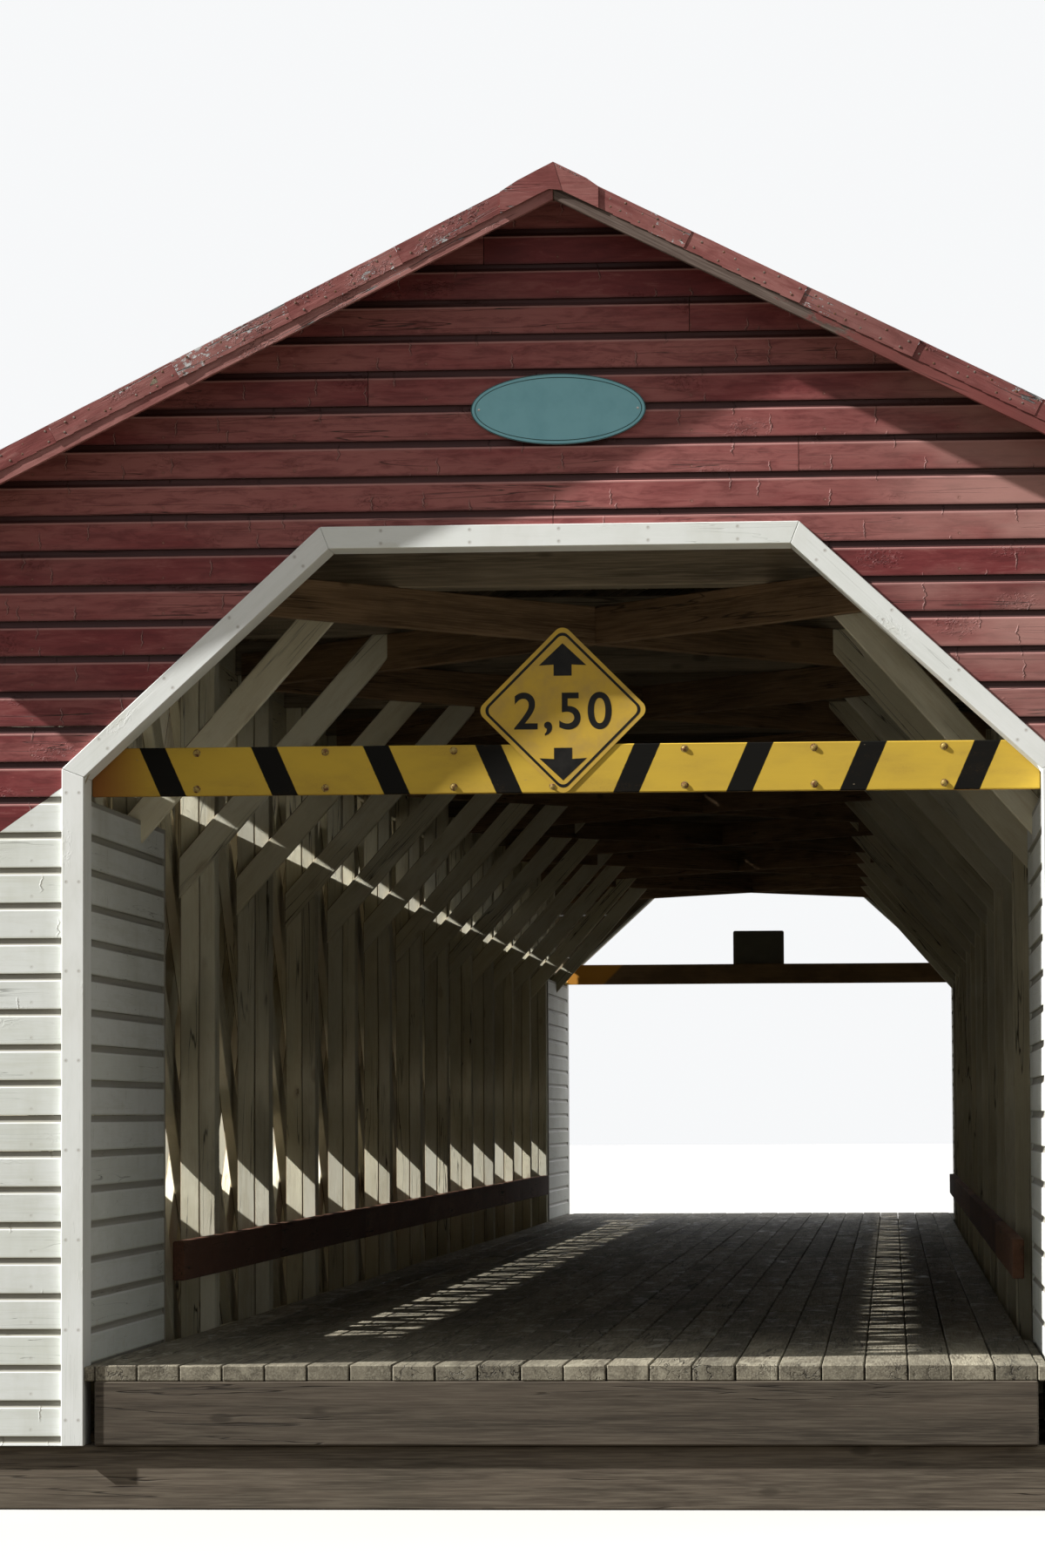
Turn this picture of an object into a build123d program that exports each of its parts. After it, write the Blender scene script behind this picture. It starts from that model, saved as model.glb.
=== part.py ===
from build123d import *
import math
import os

# Covered timber bridge with lattice trusses, millimetres.
# X across the roadway, Y along it, Z up. Origin at the middle of the length, on the
# level of the bed timbers' undersides. The near portal is at -Y.

# Trusses along Y
bay = 2500
bays = 13
portal_setback = 1990
half_truss = bays * bay / 2
half_length = half_truss + portal_setback
stations = [-half_truss + bay * i for i in range(bays + 1)]

# Heights, all from the deck surface
deck_z = 675
bed_depth = 300
bed_insets = (190, 1200)
deck_thick = 75
stringer_depth = 300
floor_beam_depth = 240
chord_bottom = -deck_thick - stringer_depth
chord_depth = 300
chord_end_gap = 60
top_chord_z = 3530
tie_z = 3830
tie_depth = 200
brace_plank_depth = 200
crossing_z = 1350

# Places of the truss layers, measured out from the centre line
rail_in = 2150
post_in = 2210
chord_in = 2405
lattice_in = 2450
lattice_ply = 65
chord_ply = 45
chord_out = lattice_in + 2 * lattice_ply + chord_ply
siding_in = 2840
siding_thick = 30
siding_out = siding_in + siding_thick

# Lattice
lattice_width = 250
lattice_pitch = bay / 2
lattice_stop = 400

# Posts, studs and knee braces
post_size = 200
seam_width = 8
seam_depth = 12
stud_thick = 50
stud_top = 3700
brace_thick = 60
brace_foot_low = 2377
brace_foot_high = 2603
brace_rise = 1.13

# Guard rails
rail_low = 305
rail_high = 510
near_reveal = 2720
far_reveal = 3620
rail_far_gap = 1600

# Side walls
skirt_z = -450
window_low = 920
window_high = 1340
eave_gap_z = 3150

# Portal opening
opening_half = 2250
opening_top_half = 1087
opening_foot_z = 2758
opening_top_z = 3826
casing_width = 104
casing_thick = 25
liner_depth = 217
paint_line_z = 2352
frame_width = 125
reveal_top = 2660

# Roof
roof_ridge_z = 5580
roof_slope = 0.5
roof_half = 3400
roof_cover = 62
overhang = 300
rafter_depth = 224
rafter_thick = 50
rafter_spaces = 44
rafter_tail = 3350
tail_cut_z = 3740
ridge_cap_thick = 22
ridge_cap_width = 160
rake_depth = 95
rake_thick = 35
rake_joint = 2
eave_board_depth = 120
eave_board_thick = 22

# Deck and floor
deck_half = 2200
stringer_thick = 120
stringer_pitch = 650
stringers = 7
end_beam_thick = 100
floor_beam_thick = 250
floor_beam_half = 2750
floor_plank = (150, 40)
crosses = 7
cross_inset = 400
butt_gap = 1

# Beams, signs and plaque
beam_low = 2680
beam_high = 2910
beam_thick = 60
beam_gap = 8
sign_side = 580
sign_radius = 45
sign_thick = 6
sign_centre_z = 3072
far_sign_size = 594
far_sign_low = 2706
plaque_size = (824, 336)
plaque_thick = 12
plaque_z = 4475

sides = {"left": -1, "right": 1}
ends = {"near": -1, "far": 1}
os.makedirs("parts", exist_ok=True)


def save(piece, name):
    """Label a finished sub-part and write it."""
    piece.part.label = name
    export_step(piece.part, f"parts/{name}.step")


def level(height):
    """Height above the deck surface as a Z in the model's frame."""
    return deck_z + height


def block(x, y, z):
    """Add a squared timber between three pairs of limits; z counts from the deck."""
    size = [abs(b - a) for a, b in (x, y, z)]
    middle = ((x[0] + x[1]) / 2, (y[0] + y[1]) / 2, level((z[0] + z[1]) / 2))
    with Locations(middle):
        Box(*size)


def across(side, inner, outer):
    """Limits in X of a member on one side of the bridge."""
    return sorted((side * inner, side * outer))


def cross_section(y):
    """Plane across the bridge at y, drawn with X to the right and heights from the deck."""
    return Plane(origin=(0, y, deck_z), x_dir=(1, 0, 0), z_dir=(0, -1, 0))


def opening_outline(grow):
    """Half-octagon head and jambs of the portal opening, grown outwards by an amount."""
    haunch = math.atan2(opening_top_z - opening_foot_z, opening_half - opening_top_half)
    half = opening_half + grow
    foot = opening_foot_z + grow * math.tan(haunch / 2)
    top_half = opening_top_half + grow * math.tan(haunch / 2)
    top = opening_top_z + grow
    right = [(top_half, top), (half, foot), (half, chord_bottom)]
    return [(-x, z) for x, z in reversed(right)] + right


def portal_ring(inner_grow, outer_grow):
    """Band that follows the opening between two grown outlines."""
    Polygon(*opening_outline(outer_grow), align=None)
    Polygon(*opening_outline(inner_grow), align=None, mode=Mode.SUBTRACT)


def crossed_planks(count, run, inset, width):
    """Flat crosses end to end along the bridge: one plank whole, the other in two halves."""
    length = 2 * (half_length - inset) / count
    lean = math.degrees(math.atan2(length, run))
    half = math.hypot(run, length) / 2
    meeting = math.radians(2 * lean)
    butt = width / 2 * (1 / math.sin(meeting) + abs(1 / math.tan(meeting))) + butt_gap
    for i in range(count):
        with Locations((0, (i - (count - 1) / 2) * length)):
            Rectangle(2 * (half - width), width, rotation=lean)
            for way in (0, 180):
                with Locations(Location((0, 0, 0), (0, 0, way - lean))):
                    with Locations(((half + butt - width) / 2, 0)):
                        Rectangle(half - width - butt, width)


def roof_z(x, below=0):
    """Height of the roof's top surface over x, less a vertical depth."""
    return roof_ridge_z - roof_slope * abs(x) - below


# Deck, wider between the portal walls than between the posts
with BuildPart() as deck_planking:
    with BuildSketch(Plane.XY.offset(level(-deck_thick))):
        Rectangle(2 * deck_half, 2 * half_length)
        for end, depth in ((-1, near_reveal), (1, far_reveal)):
            with Locations((0, end * (half_length - depth / 2))):
                Rectangle(2 * opening_half, depth)
    extrude(amount=deck_thick)
save(deck_planking, "deck_planking")

with BuildPart() as deck_stringers:
    with BuildSketch(Plane.XY.offset(level(chord_bottom))):
        with GridLocations(stringer_pitch, 0, stringers, 1):
            Rectangle(stringer_thick, 2 * (half_length - end_beam_thick))
    extrude(amount=stringer_depth)
save(deck_stringers, "deck_stringers")

# A floor beam hangs under each panel point, and a header closes each end of the deck
with BuildPart() as floor_beams:
    for y in stations:
        block(
            (-floor_beam_half, floor_beam_half),
            (y - floor_beam_thick / 2, y + floor_beam_thick / 2),
            (chord_bottom - floor_beam_depth, chord_bottom),
        )
    for end in ends.values():
        y_out = end * half_length
        block(
            (-deck_half, deck_half),
            (y_out - end * end_beam_thick, y_out),
            (chord_bottom, -deck_thick),
        )
save(floor_beams, "floor_beams")

# Two bed timbers under the truss ends at each portal carry the whole bridge
with BuildPart() as bed_timbers:
    for end in ends.values():
        for inset in bed_insets:
            middle = end * (half_length - inset)
            block(
                (-siding_in, siding_in),
                (middle - bed_depth / 2, middle + bed_depth / 2),
                (chord_bottom - bed_depth, chord_bottom),
            )
save(bed_timbers, "bed_timbers")

# Crossed planks under the floor beams
plank_width, plank_thick = floor_plank
with BuildPart() as floor_bracing:
    with BuildSketch(Plane.XY.offset(level(chord_bottom - floor_beam_depth - plank_thick))):
        crossed_planks(crosses, 2 * lattice_in, bed_insets[1] + bed_depth, plank_width)
    extrude(amount=plank_thick)
save(floor_bracing, "floor_bracing")

# Two layers of planks at 45 degrees, the inner leaning one way and the outer the other
with BuildPart() as left_lattice:
    low, high = chord_bottom, tie_z
    count = math.ceil((half_length + high) / lattice_pitch)
    for layer, lean in ((0, -1), (1, 1)):
        start = -lattice_in - layer * lattice_ply
        with BuildSketch(Plane(origin=(start, 0, deck_z), x_dir=(0, 1, 0), z_dir=(1, 0, 0))):
            for i in range(-count, count + 1):
                with Locations((stations[0] + half_truss + i * lattice_pitch, crossing_z)):
                    Rectangle(2 * (high - low) + bay, lattice_width, rotation=lean * 45)
            with Locations((0, (low + high) / 2)):
                Rectangle(2 * (half_length - lattice_stop), high - low, mode=Mode.INTERSECT)
        extrude(amount=-lattice_ply)
save(left_lattice, "left_lattice")

with BuildPart() as right_lattice:
    mirror(left_lattice.part, about=Plane.YZ)
save(right_lattice, "right_lattice")


def chord_planks(side, low):
    """Two planks that clasp the lattice, one on each face of it."""
    for inner in (chord_in, chord_out - chord_ply):
        block(
            across(side, inner, inner + chord_ply),
            (-half_length + chord_end_gap, half_length - chord_end_gap),
            (low, low + chord_depth),
        )


tie_near = -brace_thick - post_size / 2
tie_far = tie_near + tie_depth
for name, side in sides.items():
    with BuildPart() as bottom_chord:
        chord_planks(side, chord_bottom)
    save(bottom_chord, f"{name}_bottom_chord")

    # The wall plate lies on the top chord between the tie beams
    with BuildPart() as top_chord:
        chord_planks(side, top_chord_z)
        edges = [-half_length + chord_end_gap]
        for y in stations:
            edges += [y + tie_near, y + tie_far]
        edges.append(half_length - chord_end_gap)
        for start, stop in zip(edges[::2], edges[1::2]):
            block(across(side, chord_in, chord_out), (start, stop), (tie_z, tie_z + tie_depth))
    save(top_chord, f"{name}_top_chord")

    # Double posts with an open seam; the end ones stand behind the portal lining
    with BuildPart() as posts:
        with BuildSketch(Plane.XY.offset(level(chord_bottom))):
            middle = side * (post_in + chord_in) / 2
            with Locations(*[(middle, y) for y in stations[1:-1]]):
                Rectangle(chord_in - post_in, post_size)
            seams = [(middle, y + s * (post_size - seam_depth) / 2) for y in stations[1:-1] for s in (-1, 1)]
            with Locations(*seams):
                Rectangle(seam_width, seam_depth, mode=Mode.SUBTRACT)
            lining = opening_half + siding_thick
            with Locations(*[(side * (lining + chord_in) / 2, y) for y in (stations[0], stations[-1])]):
                Rectangle(chord_in - lining, post_size)
        extrude(amount=tie_z - chord_bottom)
    save(posts, f"{name}_posts")

    walls = {"lower": (skirt_z, window_low), "upper": (window_high, eave_gap_z)}
    for part_name, limits in walls.items():
        with BuildPart() as siding:
            stop = half_length - siding_thick
            block(across(side, siding_in, siding_out), (-stop, stop), limits)
        save(siding, f"{name}_{part_name}_siding")

# Studs outside the chords, which carry the siding
with BuildPart() as siding_studs:
    with BuildSketch(Plane.XY.offset(level(chord_bottom))):
        with GridLocations(chord_out + siding_in, lattice_pitch, 2, 2 * bays + 3):
            Rectangle(siding_in - chord_out, stud_thick)
    extrude(amount=stud_top - chord_bottom)
save(siding_studs, "siding_studs")

with BuildPart() as guard_rails:
    for side in sides.values():
        block(
            across(side, rail_in, post_in),
            (-half_length + near_reveal, half_length - far_reveal - rail_far_gap),
            (rail_low, rail_high),
        )
save(guard_rails, "guard_rails")

# Knee braces lap the near face of each post and rise to the tie above
with BuildPart() as knee_braces:
    for y in stations:
        for side in sides.values():
            with BuildSketch(cross_section(y - post_size / 2)):
                with BuildLine():
                    Polyline(
                        (side * chord_in, brace_foot_low),
                        (side * (chord_in - (tie_z - brace_foot_low) / brace_rise), tie_z),
                        (side * (chord_in - (tie_z - brace_foot_high) / brace_rise), tie_z),
                        (side * chord_in, brace_foot_high),
                        close=True,
                    )
                make_face()
            extrude(amount=brace_thick)
save(knee_braces, "knee_braces")

with BuildPart() as tie_beams:
    for y in stations:
        block((-siding_in, siding_in), (y + tie_near, y + tie_far), (tie_z, tie_z + tie_depth))
save(tie_beams, "tie_beams")

# Wind bracing under the ties, let in round the knee braces
with BuildPart() as top_bracing:
    with BuildSketch(Plane.XY.offset(level(tie_z - brace_plank_depth))):
        crossed_planks(crosses, 2 * post_in, cross_inset, brace_thick)
    extrude(amount=brace_plank_depth)
    add(knee_braces.part, mode=Mode.SUBTRACT)
save(top_bracing, "top_bracing")

# Rafters with a bird's mouth over the wall plate and a level cut under the tail
rafter_pitch = 2 * (half_length - siding_thick - rafter_thick / 2) / rafter_spaces
plate_top = tie_z + tie_depth
under = roof_cover + rafter_depth
seat_x = (roof_ridge_z - under - plate_top) / roof_slope
ridge_gap = 15
rafter_outline = [
    (ridge_gap, roof_z(ridge_gap, roof_cover)),
    (rafter_tail, roof_z(rafter_tail, roof_cover)),
    (rafter_tail, tail_cut_z),
    ((roof_ridge_z - under - tail_cut_z) / roof_slope, tail_cut_z),
    (chord_out, roof_z(chord_out, under)),
    (chord_out, plate_top),
    (seat_x, plate_top),
    (ridge_gap, roof_z(ridge_gap, under)),
]
with BuildPart() as rafters:
    for i in range(rafter_spaces + 1):
        middle = (i - rafter_spaces / 2) * rafter_pitch
        with BuildSketch(cross_section(middle + rafter_thick / 2)):
            for side in sides.values():
                Polygon(*[(side * x, z) for x, z in rafter_outline], align=None)
        extrude(amount=rafter_thick)
save(rafters, "rafters")

for name, side in sides.items():
    with BuildPart() as roof:
        with BuildSketch(cross_section(half_length + overhang)):
            with BuildLine():
                Polyline(
                    (0, roof_z(0)),
                    (side * roof_half, roof_z(roof_half)),
                    (side * roof_half, roof_z(roof_half, roof_cover)),
                    (0, roof_z(0, roof_cover)),
                    close=True,
                )
            make_face()
        extrude(amount=2 * (half_length + overhang))
    save(roof, f"{name}_roof")

with BuildPart() as ridge_cap:
    with BuildSketch(cross_section(half_length + overhang)):
        with BuildLine():
            Polyline(
                (-ridge_cap_width, roof_z(ridge_cap_width)),
                (0, roof_z(0)),
                (ridge_cap_width, roof_z(ridge_cap_width)),
                (ridge_cap_width, roof_z(ridge_cap_width) + ridge_cap_thick),
                (0, roof_z(0) + ridge_cap_thick),
                (-ridge_cap_width, roof_z(ridge_cap_width) + ridge_cap_thick),
                close=True,
            )
        make_face()
    extrude(amount=2 * (half_length + overhang))
save(ridge_cap, "ridge_cap")

with BuildPart() as eave_boards:
    for side in sides.values():
        top = roof_z(rafter_tail + eave_board_thick, roof_cover)
        block(
            across(side, rafter_tail, rafter_tail + eave_board_thick),
            (-half_length - overhang + rake_thick, half_length + overhang - rake_thick),
            (top - eave_board_depth, top),
        )
save(eave_boards, "eave_boards")

def panel_plane(end, depth):
    """Section plane at a depth behind a portal's face; extruding by depth comes back out."""
    return cross_section(end * (half_length - depth))


# Both portals, each from its own face inwards; the face boards stop at the lining
lined_top, lined_foot = opening_outline(casing_thick)[3:5]
for name, end in ends.items():
    face_y = end * half_length
    outwards = -end
    with BuildPart() as rake_boards:
        for side in sides.values():
            with BuildSketch(cross_section(end * (half_length + overhang - rake_thick))):
                with BuildLine():
                    Polyline(
                        (side * rake_joint, roof_z(rake_joint, roof_cover)),
                        (side * roof_half, roof_z(roof_half, roof_cover)),
                        (side * roof_half, roof_z(roof_half, roof_cover + rake_depth)),
                        (side * rake_joint, roof_z(rake_joint, roof_cover + rake_depth)),
                        close=True,
                    )
                make_face()
            extrude(amount=outwards * rake_thick)
    save(rake_boards, f"{name}_rake_boards")

    with BuildPart() as gable:
        with BuildSketch(panel_plane(end, siding_thick)):
            with BuildLine():
                Polyline(
                    (-siding_out, lined_top[1]),
                    (siding_out, lined_top[1]),
                    (siding_out, roof_z(siding_out, roof_cover)),
                    (0, roof_z(0, roof_cover)),
                    (-siding_out, roof_z(siding_out, roof_cover)),
                    close=True,
                )
            make_face()
        extrude(amount=outwards * siding_thick)
    save(gable, f"{name}_gable")

    # Painted corner walls beside the haunches, then the panels below them
    with BuildPart() as haunch_walls:
        for side in sides.values():
            with BuildSketch(panel_plane(end, siding_thick)):
                with BuildLine():
                    Polyline(
                        (side * lined_top[0], lined_top[1]),
                        (side * lined_foot[0], lined_foot[1]),
                        (side * siding_out, paint_line_z),
                        (side * siding_out, lined_top[1]),
                        close=True,
                    )
                make_face()
            extrude(amount=outwards * siding_thick)
    save(haunch_walls, f"{name}_haunch_walls")

    with BuildPart() as front_panels:
        for side in sides.values():
            with BuildSketch(panel_plane(end, siding_thick)):
                with BuildLine():
                    Polyline(
                        (side * lined_foot[0], chord_bottom),
                        (side * lined_foot[0], lined_foot[1]),
                        (side * siding_out, paint_line_z),
                        (side * siding_out, chord_bottom),
                        close=True,
                    )
                make_face()
            extrude(amount=outwards * siding_thick)
    save(front_panels, f"{name}_front_panels")

    # White casing on the face, with a lining that turns into the opening
    with BuildPart() as arch_trim:
        with BuildSketch(cross_section(face_y)):
            portal_ring(0, casing_width)
        extrude(amount=outwards * casing_thick)
        with BuildSketch(panel_plane(end, liner_depth)):
            portal_ring(0, casing_thick)
        extrude(amount=outwards * liner_depth)
    save(arch_trim, f"{name}_arch_trim")

    with BuildPart() as reveal_walls:
        depth = near_reveal if end < 0 else far_reveal
        start, stop = face_y - end * liner_depth, face_y - end * depth
        for side in sides.values():
            block(across(side, opening_half, opening_half + siding_thick), (start, stop), (-deck_thick, reveal_top))
            block(
                across(side, opening_half + siding_thick, chord_in),
                (stop, stop + end * stud_thick),
                (-deck_thick, reveal_top),
            )
        add(knee_braces.part, mode=Mode.SUBTRACT)
    save(reveal_walls, f"{name}_reveal_walls")

    beam_start = face_y - end * (liner_depth + beam_gap)
    with BuildPart() as clearance_beam:
        block(
            (-opening_half, opening_half),
            (beam_start, beam_start - end * beam_thick),
            (beam_low, beam_high),
        )
    save(clearance_beam, f"{name}_clearance_beam")

# Timbers round each opening, between the face boards and the lining
with BuildPart() as portal_frames:
    for end in ends.values():
        with BuildSketch(panel_plane(end, liner_depth)):
            portal_ring(casing_thick, casing_thick + frame_width)
        extrude(amount=-end * (liner_depth - siding_thick))
save(portal_frames, "portal_frames")

# Near sign: a square plate stood on its corner, fixed to the face of the beam
near_beam_face = -half_length + liner_depth + beam_gap
with BuildPart() as near_sign:
    with BuildSketch(cross_section(near_beam_face)):
        with Locations((0, sign_centre_z)):
            RectangleRounded(sign_side, sign_side, sign_radius, rotation=45)
    extrude(amount=sign_thick)
save(near_sign, "near_height_sign")

with BuildPart() as far_sign:
    with BuildSketch(cross_section(-near_beam_face + sign_thick)):
        with Locations((0, far_sign_low + far_sign_size / 2)):
            RectangleRounded(far_sign_size, far_sign_size, sign_radius / 2)
    extrude(amount=sign_thick)
save(far_sign, "far_height_sign")

with BuildPart() as plaque:
    with BuildSketch(cross_section(-half_length)):
        with Locations((0, plaque_z)):
            Ellipse(plaque_size[0] / 2, plaque_size[1] / 2)
    extrude(amount=plaque_thick)
save(plaque, "oval_plaque")
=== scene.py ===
import math
import random
from itertools import pairwise

import bmesh
import bpy
from mathutils import Matrix, Vector, noise


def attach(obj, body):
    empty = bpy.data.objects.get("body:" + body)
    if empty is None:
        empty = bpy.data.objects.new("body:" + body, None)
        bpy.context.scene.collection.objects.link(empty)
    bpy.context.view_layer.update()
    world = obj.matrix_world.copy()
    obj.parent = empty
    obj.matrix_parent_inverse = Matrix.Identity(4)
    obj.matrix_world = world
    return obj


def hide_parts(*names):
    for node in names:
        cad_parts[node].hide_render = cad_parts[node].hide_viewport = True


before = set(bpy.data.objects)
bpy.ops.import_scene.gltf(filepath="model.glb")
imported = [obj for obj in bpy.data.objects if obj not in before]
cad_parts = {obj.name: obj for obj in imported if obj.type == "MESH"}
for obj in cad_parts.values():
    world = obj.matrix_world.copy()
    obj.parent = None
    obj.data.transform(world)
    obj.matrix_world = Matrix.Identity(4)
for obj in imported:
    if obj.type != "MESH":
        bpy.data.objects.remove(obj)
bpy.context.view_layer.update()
noise.seed_set(7)  # without it the boards wander differently in every run
print("stage: packed frame loaded")

# measures that several pieces share, in metres; heights are counted from the deck
bridge = {
    "deckHeight": 0.675,
    "bay": 2.5,
    "bays": 13,
    "portalSetback": 1.99,
    "ridge": 5.58,
    "roofSlope": 0.5,
    "roofHalf": 3.4,
    "roofCover": 0.062,
    "overhang": 0.3,
    "chordBottom": -0.375, "tieBottom": 3.83,
}
halfTruss = bridge["bay"] * bridge["bays"] / 2
halfLength = halfTruss + bridge["portalSetback"]
stations = [bridge["bay"] * i - halfTruss for i in range(bridge["bays"] + 1)]
sides = {"left": -1, "right": 1}
ends = {"near": -1, "far": 1}
acrossX, alongY, upZ = Vector((1, 0, 0)), Vector((0, 1, 0)), Vector((0, 0, 1))


def at(x, y, height):
    return Vector((x, y, bridge["deckHeight"] + height))


def roofAt(x, below=0.0):
    return bridge["ridge"] - bridge["roofSlope"] * abs(x) - below


def placed(name, data):
    made = bpy.data.objects.new(name, data)
    bpy.context.scene.collection.objects.link(made)
    return made


class Wire:
    # a shader socket that takes part in plain arithmetic
    def __init__(self, recipe, socket):
        self.recipe = recipe
        self.socket = socket

    def __add__(self, other):
        return self.recipe.maths("ADD", self, other)

    def __radd__(self, other):
        return self.recipe.maths("ADD", other, self)

    def __sub__(self, other):
        return self.recipe.maths("SUBTRACT", self, other)

    def __rsub__(self, other):
        return self.recipe.maths("SUBTRACT", other, self)

    def __mul__(self, other):
        return self.recipe.maths("MULTIPLY", self, other)

    def __rmul__(self, other):
        return self.recipe.maths("MULTIPLY", other, self)

    def __truediv__(self, other):
        return self.recipe.maths("DIVIDE", self, other)

    def __abs__(self):
        return self.recipe.maths("ABSOLUTE", self)

    def __gt__(self, other):
        return self.recipe.maths("GREATER_THAN", self, other)


class Recipe:
    # one material, or the world, written as expressions
    def __init__(self, name, store=bpy.data.materials):
        self.owner = store.new(name)
        self.owner.use_nodes = True
        self.tree = self.owner.node_tree
        self.tree.nodes.clear()

    def node(self, kind, settings, sockets, output=0):
        made = self.tree.nodes.new("ShaderNode" + kind)
        for key, value in settings.items():
            setattr(made, key, value)
        for key, value in sockets.items():
            socket = made.inputs[key]
            if isinstance(value, Wire):
                self.tree.links.new(value.socket, socket)
            elif socket.type == "RGBA":
                socket.default_value = (*value[:3], 1.0)
            else:
                socket.default_value = value
        return Wire(self, made.outputs[output]) if made.outputs else None

    def also(self, wire, output):
        # another output of the node behind a wire
        return Wire(self, wire.socket.node.outputs[output])

    def maths(self, operation, *terms):
        return self.node("Math", {"operation": operation}, dict(enumerate(terms)))

    def vector(self, name):
        return self.node("Attribute", {"attribute_name": name}, {}, 1)

    def value(self, name):
        return self.node("Attribute", {"attribute_name": name}, {}, 2)

    def world(self):
        return self.node("TexCoord", {}, {}, 3)

    def axis(self, index):
        # distance along one of the bridge's axes
        return self.part(self.world(), index)

    def part(self, vector, index):
        return self.node("SeparateXYZ", {}, {0: vector}, index)

    def stretch(self, vector, by):
        return self.node("VectorMath", {"operation": "MULTIPLY"}, {0: vector, 1: by})

    def noise(self, vector, scale, detail=3.0, rough=0.55, twist=0.0):
        sockets = {
            "Vector": vector, "Scale": scale, "Detail": detail, "Roughness": rough, "Distortion": twist,
        }
        return self.node("TexNoise", {}, sockets)

    def streaks(self, vector, shape, detail=3.0, rough=0.55, twist=0.0):
        # noise drawn out to a shape of its own
        return self.noise(self.stretch(vector, shape), 1.0, detail, rough, twist)

    def cells(self, vector, scale, output=0):
        return self.node("TexVoronoi", {}, {"Vector": vector, "Scale": scale}, output)

    def smooth(self, value, low, high):
        return self.node("MapRange", {"interpolation_type": "SMOOTHSTEP"}, {0: value, 1: low, 2: high})

    def mix(self, share, first, second, way="MIX"):
        return self.node("Mix", {"data_type": "RGBA", "blend_type": way}, {0: share, 6: first, 7: second}, 2)

    def finish(self, color, roughness, height=None, depth=0.002, extra=None):
        sockets = {"Base Color": color, "Roughness": roughness, "Specular IOR Level": 0.22, **(extra or {})}
        if height is not None:
            sockets["Normal"] = self.node("Bump", {}, {"Strength": 1.0, "Distance": depth, "Height": height})
        shader = self.node("BsdfPrincipled", {}, sockets)
        self.node("OutputMaterial", {}, {"Surface": shader})
        return self.owner


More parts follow.
